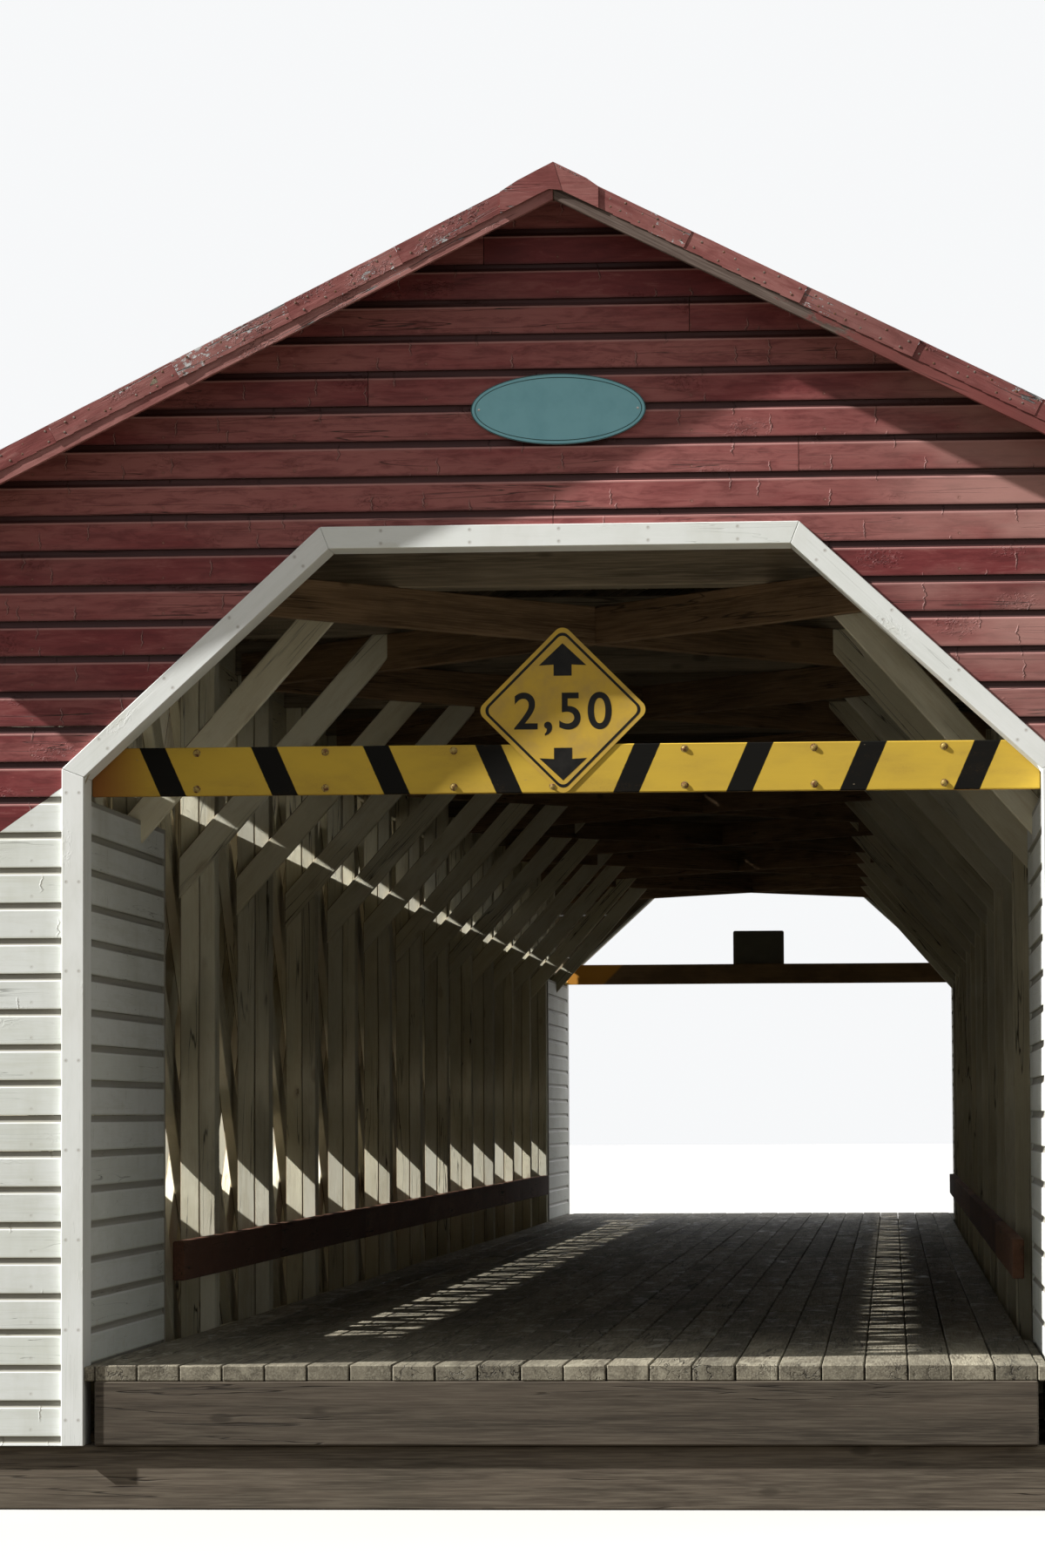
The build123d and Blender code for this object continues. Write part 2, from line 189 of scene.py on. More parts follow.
# bare sawn wood, and what lies on it: a coat that is kept where flakes stay under "hold"
def timberFinish(name, look):
    r = Recipe(name)
    grain, place, tone = r.vector("grain"), r.vector("place"), r.value("tone")
    figure = r.streaks(grain, (0.7, 8, 8), 5, 0.62, 0.8)
    fibre = r.streaks(grain, (4, 120, 120), 3, 0.6)
    patch = r.streaks(grain, (0.9, 2.6, 2.6), 4, 0.55)
    split = r.streaks(grain, (0.5, 15, 15), 3, 0.5, 0.4)
    cracks = (1 - r.smooth(abs(split - 0.5), 0.001, look["crackWidth"])) * r.smooth(patch, 0.47, 0.6)
    knotAway = r.cells(r.stretch(grain, (2.2, 5.0, 5.0)), 1.0)
    knot = 1 - r.smooth(knotAway, 0.07, 0.15)

    color = r.mix(r.smooth(figure, 0.3, 0.7), look["dark"], look["mid"])
    color = r.mix(r.smooth(fibre, 0.35, 0.75) * 0.55, color, look["pale"])
    color = r.mix(knot * 0.75, color, look["dark"])
    height = fibre * 0.3 + figure * 0.3 - cracks * 1.4 - knot * 0.2
    roughness = 0.78 + fibre * 0.12
    if "coat" in look:
        flake = r.streaks(grain, look["flakeShape"], 8, 0.7)
        loss = flake + (patch - 0.5) * look["patchy"] + cracks * 0.2 + knot * 0.12 + (tone - 0.5) * 0.05
        if "bareWithin" in look:
            loss = loss + (1 - r.smooth(abs(r.axis(0)), *look["bareWithin"])) * 0.6
        bare = r.smooth(loss, look["hold"], look["hold"] + look["soft"])
        if "inward" in look:
            # only what faces the roadway was coated
            outward = (r.part(r.node("NewGeometry", {}, {}, 1), 0) * r.axis(0)) > 1.0
            bare = r.maths("MAXIMUM", bare, outward * look["inward"])
        coat = r.mix(r.smooth(patch + (fibre + tone - 1) * 0.3, 0.3, 0.72), look["coat"], look["faded"])
        coat = r.mix(knot * look["stain"], coat, look["knot"])
        coat = r.mix(r.smooth(split + (fibre - 0.5) * 0.4, 0.55, 0.75) * 0.35, coat, look["streak"])
        blot = r.streaks(grain, (5, 24, 24), 6, 0.7, 0.5)
        coat = r.mix(r.smooth(blot, 0.44, 0.66) * look["mottled"], coat, look["streak"])
        coat = r.mix(
            (1 - r.smooth(blot + (fibre - 0.5) * 0.3, 0.3, 0.46)) * look["mottled"], coat, look["faded"],
        )
        if "glareSpan" in look:
            # paler paint on the near right haunch: a painted highlight of the sun's glare there
            glareSpot = r.smooth(r.axis(0), *look["glareSpan"]) * ((0 - r.axis(1)) > halfLength - 0.1)
            coat = r.mix(glareSpot * r.smooth(patch + (tone - 0.5) * 0.3, 0.35, 0.65) * 0.75, coat, look["glareTint"])
        pucker = r.streaks(grain, (26, 40, 40), 3, 0.6, 2.0)
        pucker = r.smooth(pucker, 0.52, 0.62) * (1 - r.smooth(knotAway, 0.15, 0.32))
        color = r.mix(bare, coat, color)
        kept = 1 - bare
        height = height * look["telegraph"] + kept * 0.35 + pucker * kept * look["pucker"]
        roughness = look["sheen"] + bare * 0.3 + patch * 0.15
    if "blister" in look:
        # short upright ridges where the paint has lifted from the face; each ridge is paler, partly a painted
        # highlight, and the dark line beside it is a painted shadow
        spot = r.stretch(grain, (4.2, 6.0, 0.0))
        middle = r.node("TexVoronoi", {"voronoi_dimensions": "2D"}, {"Vector": spot, "Scale": 1.0}, 2)
        chosen = r.part(r.also(middle, 1), 0) > 1 - look["blister"]
        wander = (r.streaks(grain, (9, 26, 26), 3, 0.6) - 0.5) * 0.22
        aside = r.part(spot, 0) - r.part(middle, 0) + wander
        reach = (1 - r.smooth(abs(r.part(spot, 1) - r.part(middle, 1)), 0.1, 0.3)) * chosen
        ridge = (1 - r.smooth(abs(aside), 0.004, 0.016)) * reach
        # painted shadow beside each ridge
        shade = (1 - r.smooth(abs(aside - 0.022), 0.004, 0.018)) * reach
        color = r.mix(shade * 0.6, color, look["shadowTint"])
        color = r.mix(ridge * 0.75, color, look["curlAndHighlight"])
        height = height + ridge * 1.6
    if "cove" in look:
        # painted shade darkens the cove at each board's head, and a painted highlight lightens a thin strip
        # of face just below it
        level = r.part(place, 1)
        coveShadow = r.smooth(level, look["cove"] + 0.001, look["cove"] + 0.007)
        lit = r.smooth(level, look["cove"] - 0.009, look["cove"] - 0.002) * (1 - coveShadow)
        color = r.mix(lit * 0.7, color, look["curlAndHighlight"])
        color = r.mix(coveShadow * look["grime"], color, look["shadowTint"])
    if "saw" in look:
        arc = r.part(grain, 0) + r.part(grain, 1) * r.part(grain, 1) * 2.2
        teeth = r.maths("SINE", arc * look["saw"])
        height = height + teeth * r.smooth(patch, 0.42, 0.6) * 0.12
    if "nails" in look:
        nails = look["nails"]
        turn = r.maths("FRACT", r.part(place, 0) / nails["pitch"] + 0.5) - 0.5
        away = r.maths("MINIMUM", *[abs(r.part(place, 1) - row) for row in nails["rows"]])
        span = r.maths("SQRT", turn * turn * nails["pitch"] ** 2 + away * away)
        head = 1 - r.smooth(span, nails["radius"] * 0.75, nails["radius"])
        rust = (1 - r.smooth(span, nails["radius"], nails["radius"] * 3.2)) * nails["rust"]
        color = r.mix(rust, color, (0.11, 0.055, 0.03))
        color = r.mix(head * 0.8, color, nails["color"])
        height = height - head * 0.5
    if "worn" in look:
        # trodden places are paler and smoother
        trodden = r.smooth(r.streaks(grain, (3.0, 9, 9), 5, 0.65, 0.5), 0.52, 0.66)
        color = r.mix(trodden * look["worn"], color, look["pale"])
        roughness = roughness - trodden * 0.3 - 0.12
    soil = r.streaks(r.world(), look["soilShape"], 5, 0.62)
    color = r.mix(r.smooth(soil, 0.45, 0.8) * look["soiled"], color, look["soil"])
    if "lip" in look:
        # darker towards each board's foot in the soil colour: partly dirt, partly painted shade along the
        # foot
        lip = 1 - r.smooth(r.part(place, 1), 0.0, look["lip"])
        color = r.mix(lip * 0.55, color, look["soil"])
    if "back" in look:
        color = r.mix(
            abs(r.part(place, 2)) > look["backFrom"], color, r.mix(figure, look["back"], look["backWorn"]),
        )
    color = r.mix(1.0, color, 1 - look["vary"] / 2 + tone * look["vary"], "MULTIPLY")
    color = r.mix(cracks * look["crackDark"], color, (0.012, 0.009, 0.007))
    return r.finish(color, roughness, height, look["depth"])


bareWood = {"dark": (0.09, 0.075, 0.058), "mid": (0.2, 0.175, 0.135), "pale": (0.34, 0.31, 0.25)}
woodLook = {
    **bareWood, "crackWidth": 0.012, "depth": 0.002, "vary": 0.45,
    "soilShape": (0.9, 0.9, 0.7), "soiled": 0.35, "soil": (0.045, 0.036, 0.026), "crackDark": 0.75,
}
coatLook = {
    **woodLook, "patchy": 0.5, "soft": 0.04, "stain": 0.35, "telegraph": 0.4, "pucker": 0.8, "sheen": 0.45,
    "flakeShape": (7, 20, 20), "mottled": 0.25,
}
insideWash = {"back": (0.46, 0.42, 0.32), "backWorn": (0.3, 0.25, 0.17), "backFrom": 0.024}
looks = {
    "redBoards": {
        **coatLook, **insideWash, "coat": (0.19, 0.035, 0.037), "faded": (0.32, 0.115, 0.106),
        "streak": (0.085, 0.013, 0.014), "knot": (0.09, 0.02, 0.018), "hold": 0.8, "crackWidth": 0.006,
        # the foot strip, the ridge and cove colours and the haunch tint below partly paint light: shade in
        # coves, beside ridges and at each foot, highlights on ridges and under coves, glare on the near right
        # haunch
        "vary": 0.3, "soiled": 0.3, "soil": (0.05, 0.018, 0.016), "lip": 0.012, "depth": 0.0035,
        "mottled": 0.55, "blister": 0.6, "curlAndHighlight": (0.5, 0.27, 0.25), "cove": 1 / 6 - 0.038,
        "shadowTint": (0.022, 0.006, 0.005), "grime": 0.93, "glareSpan": (1.25, 2.1), "glareTint": (0.45, 0.25, 0.22),
        "nails": {
            "pitch": 0.625, "rows": (0.03,), "radius": 0.0045, "rust": 0.25, "color": (0.3, 0.14, 0.12),
        },
    },
    "redTrim": {
        **coatLook, "dark": (0.36, 0.35, 0.35), "mid": (0.55, 0.54, 0.54), "pale": (0.74, 0.74, 0.74),
        "coat": (0.215, 0.062, 0.058), "faded": (0.34, 0.155, 0.14), "streak": (0.13, 0.034, 0.03),
        "knot": (0.12, 0.035, 0.03), "hold": 0.675, "patchy": 0.85, "soft": 0.02, "flakeShape": (30, 60, 60),
        "vary": 0.12, "soil": (0.07, 0.035, 0.03), "soiled": 0.5, "telegraph": 0.8, "pucker": 2.2,
        "depth": 0.0035, "mottled": 0.55,
    },
    "rakeWood": {
        **coatLook, "dark": (0.036, 0.024, 0.02), "mid": (0.1, 0.07, 0.058), "pale": (0.23, 0.18, 0.155),
        "coat": (0.14, 0.03, 0.029), "faded": (0.19, 0.058, 0.052), "streak": (0.11, 0.028, 0.026),
        "knot": (0.12, 0.035, 0.03), "hold": 0.7, "patchy": 0.9, "soft": 0.12, "telegraph": 1.0,
        "crackWidth": 0.02, "bareWithin": (0.8, 1.7),
    },
    "whiteBoards": {
        **coatLook, **insideWash, "coat": (0.79, 0.82, 0.8), "faded": (0.69, 0.72, 0.68),
        "streak": (0.62, 0.64, 0.57), "knot": (0.62, 0.6, 0.5), "hold": 0.83, "crackWidth": 0.004,
        "vary": 0.1, "soiled": 0.35, "telegraph": 0.25, "soilShape": (3.0, 1.2, 0.7),
        # the foot strip and the ridge and cove colours below partly paint light: shade in coves, beside
        # ridges and at each foot, highlights on ridges and under coves
        "soil": (0.42, 0.42, 0.32), "lip": 0.01, "depth": 0.0015, "pucker": 0.3, "blister": 0.15,
        "curlAndHighlight": (0.8, 0.82, 0.8), "cove": 1 / 6 - 0.038, "shadowTint": (0.2, 0.175, 0.13), "grime": 0.75,
        "crackDark": 0.4,
        "nails": {"pitch": 0.625, "rows": (0.03,), "radius": 0.004, "rust": 0.15, "color": (0.6, 0.6, 0.55)},
    },
    "whiteTrim": {
        **coatLook, "coat": (0.86, 0.88, 0.87), "faded": (0.8, 0.83, 0.81), "streak": (0.72, 0.75, 0.72),
        "knot": (0.66, 0.66, 0.58), "hold": 0.85, "crackWidth": 0.002, "vary": 0.06, "soiled": 0.35,
        "telegraph": 0.3, "crackDark": 0.15, "soilShape": (2.2, 2.2, 0.8), "soil": (0.5, 0.5, 0.4),
        "depth": 0.0015, "pucker": 0.4,
        "nails": {
            "pitch": 0.42, "rows": (0.022, 0.082), "radius": 0.004, "rust": 0.3, "color": (0.5, 0.48, 0.43),
        },
    },
    "limewashed": {
        **coatLook, "dark": (0.12, 0.08, 0.042), "mid": (0.26, 0.195, 0.115), "pale": (0.4, 0.325, 0.21),
        "coat": (0.86, 0.84, 0.7), "faded": (0.76, 0.72, 0.55), "streak": (0.58, 0.51, 0.34),
        "knot": (0.34, 0.25, 0.14), "hold": 0.7, "soft": 0.16, "patchy": 0.6, "sheen": 0.75, "telegraph": 0.9,
        "pucker": 0.1, "vary": 0.3, "soiled": 0.25, "soil": (0.25, 0.19, 0.11), "depth": 0.003,
        "crackWidth": 0.012, "saw": 420.0, "inward": 0.85,
    },
    "railPaint": {
        **coatLook, "dark": (0.07, 0.045, 0.03), "mid": (0.15, 0.1, 0.07), "pale": (0.26, 0.2, 0.14),
        "coat": (0.12, 0.052, 0.03), "faded": (0.19, 0.1, 0.06), "streak": (0.07, 0.032, 0.02),
        "knot": (0.08, 0.035, 0.022), "hold": 0.6, "soft": 0.1, "telegraph": 0.8, "sheen": 0.8,
        "nails": {
            "pitch": 2.5, "rows": (0.05, 0.155), "radius": 0.013, "rust": 0.3, "color": (0.06, 0.045, 0.04),
        },
    },
    "roofTimber": {
        **woodLook, "dark": (0.12, 0.098, 0.07), "mid": (0.28, 0.23, 0.165), "pale": (0.45, 0.37, 0.27),
        "soil": (0.09, 0.072, 0.052), "saw": 300.0,
    },
    # the wind planks get a lighter, warmer wood than the other roof timbers: painted bounce light
    "bounceLitPlanks": {
        **woodLook, "dark": (0.1, 0.06, 0.032), "mid": (0.27, 0.17, 0.095), "pale": (0.45, 0.3, 0.175),
        "soil": (0.08, 0.05, 0.028), "soiled": 0.5, "saw": 300.0,
    },
    "floorTimber": {
        **woodLook, "dark": (0.05, 0.04, 0.03), "mid": (0.115, 0.092, 0.07), "pale": (0.2, 0.17, 0.13),
        "soil": (0.06, 0.055, 0.04),
    },
    "deckPlanks": {
        **woodLook, "dark": (0.085, 0.073, 0.054), "mid": (0.21, 0.187, 0.14), "pale": (0.42, 0.39, 0.3),
        "crackWidth": 0.022, "depth": 0.003, "vary": 0.5, "soiled": 0.5, "soilShape": (2.2, 0.35, 1.0),
        "worn": 0.45,
        "nails": {
            "pitch": 0.65, "rows": (0.045, 0.15), "radius": 0.006, "rust": 0.35, "color": (0.05, 0.04, 0.035),
        },
    },
    "cedarShingles": {
        **woodLook, "dark": (0.11, 0.088, 0.068), "mid": (0.2, 0.175, 0.15), "pale": (0.33, 0.31, 0.28),
        "crackWidth": 0.02, "vary": 0.5, "soiled": 0.5, "soilShape": (0.5, 0.35, 0.5),
        "soil": (0.09, 0.09, 0.06),
    },
}
# the left rake boards keep more of their paint
looks["rakePaint"] = {**looks["redTrim"], "hold": 0.8}
finishes = {name: timberFinish(name, look) for name, look in looks.items()}


def metalFinish(name, color, rusty, shine):
    r = Recipe(name)
    world = r.world()
    spots = r.noise(world, 60.0, 6, 0.65)
    rust = r.smooth(spots, rusty, rusty + 0.12)
    shade = r.mix(rust, color, (0.13, 0.055, 0.025))
    return r.finish(shade, 0.4 + rust * 0.4, spots, 0.0006, {"Metallic": (1 - rust) * shine})


finishes["boltPaint"] = metalFinish("boltPaint", (0.36, 0.26, 0.075), 0.46, 0.15)
finishes["screwMetal"] = metalFinish("screwMetal", (0.42, 0.4, 0.37), 0.55, 0.75)
finishes["nailMetal"] = metalFinish("nailMetal", (0.2, 0.16, 0.14), 0.45, 0.7)
print("stage: timber finishes mixed")


class Lumber:
    # gathers sawn pieces into one mesh; each keeps its own grain direction and tone
    def __init__(self, seed):
        self.points, self.faces = [], []
        self.grain, self.place, self.tone = [], [], []
        self.draw = random.Random(seed)

    def mark(self):
        return self.draw.random(), Vector([self.draw.uniform(0, 30) for _ in range(3)])

    def loft(self, rings, along, across, base, mark=None):
        # a closed skin over a row of equal rings, capped at both ends
        start, count = len(self.points), len(rings[0])
        thick = along.cross(across)
        tone, shift = mark or self.mark()
        for ring in rings:
            for p in ring:
                inside = p - base
                self.points.append(p)
                self.grain.append(
                    (p.dot(along) + shift.x, inside.dot(across) + shift.y, inside.dot(thick) + shift.z)
                )
                self.place.append((p.dot(along), inside.dot(across), inside.dot(thick)))
                self.tone.append(tone)
        for k in range(len(rings) - 1):
            a = start + k * count
            for i in range(count):
                j = (i + 1) % count
                self.faces.append((a + i, a + j, a + count + j, a + count + i))
        last = start + (len(rings) - 1) * count
        self.faces.append(tuple(range(start + count - 1, start - 1, -1)))
        self.faces.append(tuple(range(last, last + count)))

    def hoop(self, loops, along, across, base):
        # closed loops joined one to the next and the last to the first
        start, count = len(self.points), len(loops[0])
        tone, shift = self.mark()
        for loop in loops:
            for p in loop:
                self.points.append(p)
                self.grain.append(tuple(p + shift))
                self.place.append(((p - base).dot(along), (p - base).dot(across), 0.0))
                self.tone.append(tone)
        for k in range(len(loops)):
            a, b = start + k * count, start + (k + 1) % len(loops) * count
            for i in range(count):
                j = (i + 1) % count
                self.faces.append((a + i, a + j, b + j, b + i))

    def beam(self, a, b, side, wide, thick, parts=1, sway=0.0, mark=None):
        # a squared timber from a to b; side gives the direction of its width
        along = (b - a).normalized()
        across = (side - along * side.dot(along)).normalized()
        up = along.cross(across)
        where = Vector([self.draw.uniform(0, 90) for _ in range(3)])
        rings = []
        for k in range(parts + 1):
            c = a.lerp(b, k / parts)
            if sway:
                c = c + noise.noise_vector(c * 0.6 + where) * sway
            corners = ((-1, -1), (1, -1), (1, 1), (-1, 1))
            rings.append([c + across * (s * wide / 2) + up * (t * thick / 2) for s, t in corners])
        self.loft(rings, along, across, a - across * (wide / 2) - up * (thick / 2), mark)

    def slab(self, outline, start, depth, along, across):
        # a flat outline of points pushed through a depth
        self.loft(
            [[p + start for p in outline], [p + start + depth for p in outline]], along, across,
            outline[0] + start,
        )

    def stud(self, centre, axis, rings, steps=12):
        # a turned head: pairs of radius and height on an axis
        side = axis.orthogonal().normalized()
        other = axis.cross(side)
        turn = [2 * math.pi * i / steps for i in range(steps)]
        loops = [
            [centre + axis * h + side * (r * math.cos(t)) + other * (r * math.sin(t)) for t in turn]
            for r, h in rings
        ]
        self.loft(loops, axis, side, centre)

    def piece(self, name, finish, nodes=(), slot=None, edge=0.004):
        mesh = bpy.data.meshes.new(name)
        mesh.from_pydata(self.points, [], self.faces)
        for key, rows in (("grain", self.grain), ("place", self.place)):
            layer = mesh.attributes.new(key, "FLOAT_VECTOR", "POINT")
            layer.data.foreach_set("vector", [v for row in rows for v in row])
        mesh.attributes.new("tone", "FLOAT", "POINT").data.foreach_set("value", self.tone)
        shape = bmesh.new()
        shape.from_mesh(mesh)
        bmesh.ops.recalc_face_normals(shape, faces=shape.faces)
        shape.to_mesh(mesh)
        shape.free()
        made = placed(name, mesh)
        mesh.materials.append(finishes[finish])
        if edge:
            worn = made.modifiers.new("worn", "BEVEL")
            worn.width, worn.segments, worn.limit_method = edge, 1, "ANGLE"
            worn.angle_limit = math.radians(35)
        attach(made, "root")
        if nodes:
            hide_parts(*nodes)
        return made


def cuts(draw, start, stop, shortest, longest):
    # places where a long run is butt-jointed
    places = [start]
    while stop - places[-1] > longest:
        room = min(longest, stop - places[-1] - shortest)
        places.append(places[-1] + draw.uniform(shortest, max(room, shortest + 0.01)))
    return places + [stop]


def layRuns(lumber, stops, spot, apart, side, *size):
    # timbers end to end, a hair apart where they butt
    for a, b in pairwise(stops):
        lumber.beam(spot(a + apart), spot(b - apart), side, *size)


# drop siding: a flat face, a cove under the next board's foot, and butt joints;
# the cove is listed as depth behind the face and distance below the head
siding = {
    "step": 1 / 6, "phase": 2.503, "cove": ((0.0, 0.038), (0.0065, 0.031), (0.0115, 0.02), (0.013, 0.0015)),
    "thick": 0.028, "jointGap": 0.0034, "sway": 0.0018, "segment": 0.45,
}


def courses(low, high):
    step, phase = siding["step"], siding["phase"]
    k = math.floor((low - phase) / step + 1e-6)
    while phase + k * step < high - 0.004:
        foot, head = phase + k * step, phase + (k + 1) * step
        if head > low + 0.004:
            yield k, max(foot, low), min(head, high), head <= high + 1e-6
        k += 1


def boardSection(foot, head, whole, kinks=()):
    # depth behind the wall's face and height, up the face and down the back
    cove = [(depth, head - drop) for depth, drop in siding["cove"] if head - drop > foot + 0.002]
    bend = cove[0][1] if whole else head
    top = cove[-1][1]
    face = [(0.0, foot)] + [(0.0, z) for z in sorted(kinks) if foot + 0.002 < z < bend - 0.002]
    face += cove if whole else [(0.0, top)]
    back = [(siding["thick"], z) for z in sorted(kinks, reverse=True) if foot + 0.002 < z < head - 0.002]
    return face + [(siding["thick"], top)] + back + [(siding["thick"], foot)]


def layBoard(lumber, section, start, stop, spot, run, mark=None):
    # start and stop give the board's ends at a height; spot places run, depth and height
    mark = mark or lumber.mark()
    middle = section[0][1]
    parts = max(1, round((stop(middle) - start(middle)) / siding["segment"]))
    where = mark[1]
    rings = []
    for k in range(parts + 1):
        ring = []
        for depth, z in section:
            t = start(z) + (stop(z) - start(z)) * k / parts
            drift = noise.noise_vector(Vector((t * 0.7, where.x, where.y))) * siding["sway"]
            ring.append(spot(t, max(0.0, depth + abs(drift.x)), z + drift.y))
        rings.append(ring)
    foot = siding["phase"] + math.floor((middle - siding["phase"]) / siding["step"] + 1e-6) * siding["step"]
    lumber.loft(rings, run, upZ, spot(0.0, 0.0, foot), mark)


# the portal's opening: half-octagon head on upright jambs
opening = {"half": 2.25, "topHalf": 1.087, "foot": 2.758, "top": 3.826, "bottom": -0.375}


def openingOutline(grow):
    lean = math.atan2(opening["top"] - opening["foot"], opening["half"] - opening["topHalf"])
    half, reach = opening["half"] + grow, grow * math.tan(lean / 2)
    right = [
        (opening["topHalf"] + reach, opening["top"] + grow), (half, opening["foot"] + reach),
        (half, opening["bottom"]),
    ]
    return [(-x, z) for x, z in reversed(right)] + right


front = {
    "half": 2.87, "lining": 0.025, "paintLow": 2.352,
    # joints seen in single courses, counted up from the phase height
    "joints": {
        "near": {10: [1.128], 8: [-0.028], 12: [-0.9], 14: [0.62], 16: [-0.35]},
        "far": {9: [0.7], 11: [-0.8], 13: [0.35]},
    },
}
linedTop, linedFoot = openingOutline(front["lining"])[3:5]


def outerEdge(z):
    return min(front["half"], (bridge["ridge"] - bridge["roofCover"] - 0.004 - z) / bridge["roofSlope"])


def innerEdge(z):
    share = (z - linedFoot[1]) / (linedTop[1] - linedFoot[1])
    share = min(max(share, 0.0), 1.0)
    return linedFoot[0] + (linedTop[0] - linedFoot[0]) * share


def paintEdge(z):
    share = (linedFoot[1] - z) / (linedFoot[1] - front["paintLow"])
    return linedFoot[0] + (front["half"] - linedFoot[0]) * min(max(share, 0.0), 1.0)


for endName, end in ends.items():
    red, white = Lumber(11 + end), Lumber(21 + end)

    def faceSpot(t, depth, z, end=end):
        return at(t, end * (halfLength - depth), z)

    kinks = (front["paintLow"], linedFoot[1], linedTop[1])
    gap = siding["jointGap"] / 2
    for k, foot, head, whole in courses(opening["bottom"], bridge["ridge"] - bridge["roofCover"] - 0.05):
        section = boardSection(foot, head, whole, kinks)
        if foot < linedTop[1]:
            marks = {side: red.mark() for side in (-1, 1)}
            if head > linedTop[1]:
                marks[1] = marks[-1]
                over = boardSection(linedTop[1], head, whole)
                joint = front["joints"][endName].get(k, [])
                stops = [-linedTop[0]] + joint + [linedTop[0]]
                for a, b in pairwise(stops):
                    a, b = (a + gap if a in joint else a), (b - gap if b in joint else b)
                    layBoard(red, over, lambda z, a=a: a, lambda z, b=b: b, faceSpot, acrossX, marks[-1])
            for side in (-1, 1):
                def reach(edge, side=side):
                    return lambda z: side * edge(z)
                order = (lambda a, b: (a, b)) if side > 0 else (lambda a, b: (b, a))
                if foot < linedFoot[1] - 0.002:
                    a, b = order(reach(innerEdge), reach(paintEdge))
                    layBoard(white, section, a, b, faceSpot, acrossX, marks[side])
                if head > front["paintLow"]:
                    inner = (lambda z: max(innerEdge(z), paintEdge(z))) if foot < linedFoot[1] else innerEdge
                    a, b = order(reach(inner), reach(outerEdge))
                    layBoard(red, section, a, b, faceSpot, acrossX, marks[side])
        else:
            joint = front["joints"][endName].get(k, [])
            stops = [None] + joint + [None]
            for a, b in pairwise(stops):
                start = (lambda z: -outerEdge(z)) if a is None else (lambda z, a=a: a + gap)
                stop = outerEdge if b is None else (lambda z, b=b: b - gap)
                layBoard(red, section, start, stop, faceSpot, acrossX)
    covered = (f"{endName}_gable", f"{endName}_haunch_walls")
    red.piece(f"{endName}_gable_boards", "redBoards", covered, "red_siding", 0)
    white.piece(f"{endName}_front_boards", "whiteBoards", (f"{endName}_front_panels",), "white_siding", 0)

# side walls in two bands, with the open strip between them
walls = {
    "face": 2.87, "stop": 18.21, "bands": {"lower": (-0.45, 0.92), "upper": (1.34, 3.15)},
    "runs": (2.4, 4.88),
}
for sideName, side in sides.items():
    def wallSpot(t, depth, z, side=side):
        return at(side * (walls["face"] - depth), t, z)

    for bandName, (low, high) in walls["bands"].items():
        boards = Lumber(31 + side + 4 * (low > 0))
        for k, foot, head, whole in courses(low, high):
            section = boardSection(foot, head, whole)
            stops = cuts(boards.draw, -walls["stop"], walls["stop"], *walls["runs"])
            for a, b in pairwise(stops):
                layBoard(boards, section, lambda z, a=a: a + gap, lambda z, b=b: b - gap, wallSpot, alongY)
        boards.piece(
            f"{sideName}_{bandName}_boards", "redBoards", (f"{sideName}_{bandName}_siding",), "red_siding", 0,
        )
print("stage: siding laid")

# white boards inside each portal, closed by an upright at their inner end
reveal = {
    "near": 2.72, "far": 3.62, "start": 0.217, "face": 2.25, "top": 2.66, "low": -0.075, "uprightWide": 0.155,
    "uprightThick": 0.05,
}
for endName, end in ends.items():
    boards = Lumber(41 + end)
    for side in (-1, 1):
        def revealSpot(t, depth, z, side=side):
            return at(side * (reveal["face"] + depth), t, z)

        stop, start = end * (halfLength - reveal[endName]), end * (halfLength - reveal["start"])
        low, high = sorted((start, stop + end * reveal["uprightThick"]))
        for k, foot, head, whole in courses(reveal["low"], reveal["top"]):
            section = boardSection(foot, head, whole)
            layBoard(boards, section, lambda z: low + gap, lambda z: high - gap, revealSpot, alongY)
        x = side * (reveal["face"] + reveal["uprightWide"] / 2)
        y = stop + end * reveal["uprightThick"] / 2
        boards.beam(
            at(x, y, reveal["low"]), at(x, y, reveal["top"]), acrossX, reveal["uprightWide"],
            reveal["uprightThick"], 4, 0.001,
        )
    boards.piece(f"{endName}_reveal_boards", "whiteBoards", (f"{endName}_reveal_walls",), "white_siding", 0)


def mitredBand(lumber, inner, outer, near, far, gap):
    # boards that follow the opening between two outlines, mitred where they meet
    for i in range(len(inner) - 1):
        along = (at(inner[i + 1][0], 0, inner[i + 1][1]) - at(inner[i][0], 0, inner[i][1])).normalized()
        rings = []
        for j, way in ((i, 1), (i + 1, -1)):
            nudge = along * (way * gap if 0 < j < len(inner) - 1 else 0.0)
            corners = ((inner[j], near), (outer[j], near), (outer[j], far), (inner[j], far))
            rings.append([at(x, y, z) + nudge for (x, z), y in corners])
        across = (rings[0][1] - rings[0][0])
        across = (across - along * across.dot(along)).normalized()
        lumber.loft(rings, along, across, rings[0][0])


trim = {"face": 0.104, "thick": 0.025, "depth": 0.217, "gap": 0.0007, "frame": 0.125, "board": 0.03}
frames = Lumber(51)
for endName, end in ends.items():
    boards = Lumber(52 + end)
    y = end * halfLength
    inside, lined, cased = openingOutline(0), openingOutline(trim["thick"]), openingOutline(trim["face"])
    mitredBand(boards, inside, cased, y, y + end * trim["thick"], trim["gap"])
    mitredBand(boards, inside, lined, y - end * 0.0006, y - end * trim["depth"], trim["gap"])
    boards.piece(f"{endName}_trim_boards", "whiteTrim", (f"{endName}_arch_trim",), "white_trim", 0.0025)
    framed = openingOutline(trim["thick"] + trim["frame"])
    mitredBand(
        frames, openingOutline(trim["thick"] + 0.001), framed, y - end * trim["board"],
        y - end * trim["depth"], 0.002,
    )
frames.piece("portal_frame_timbers", "roofTimber", ("portal_frames",), "frame_timber")
print("stage: portals cased")

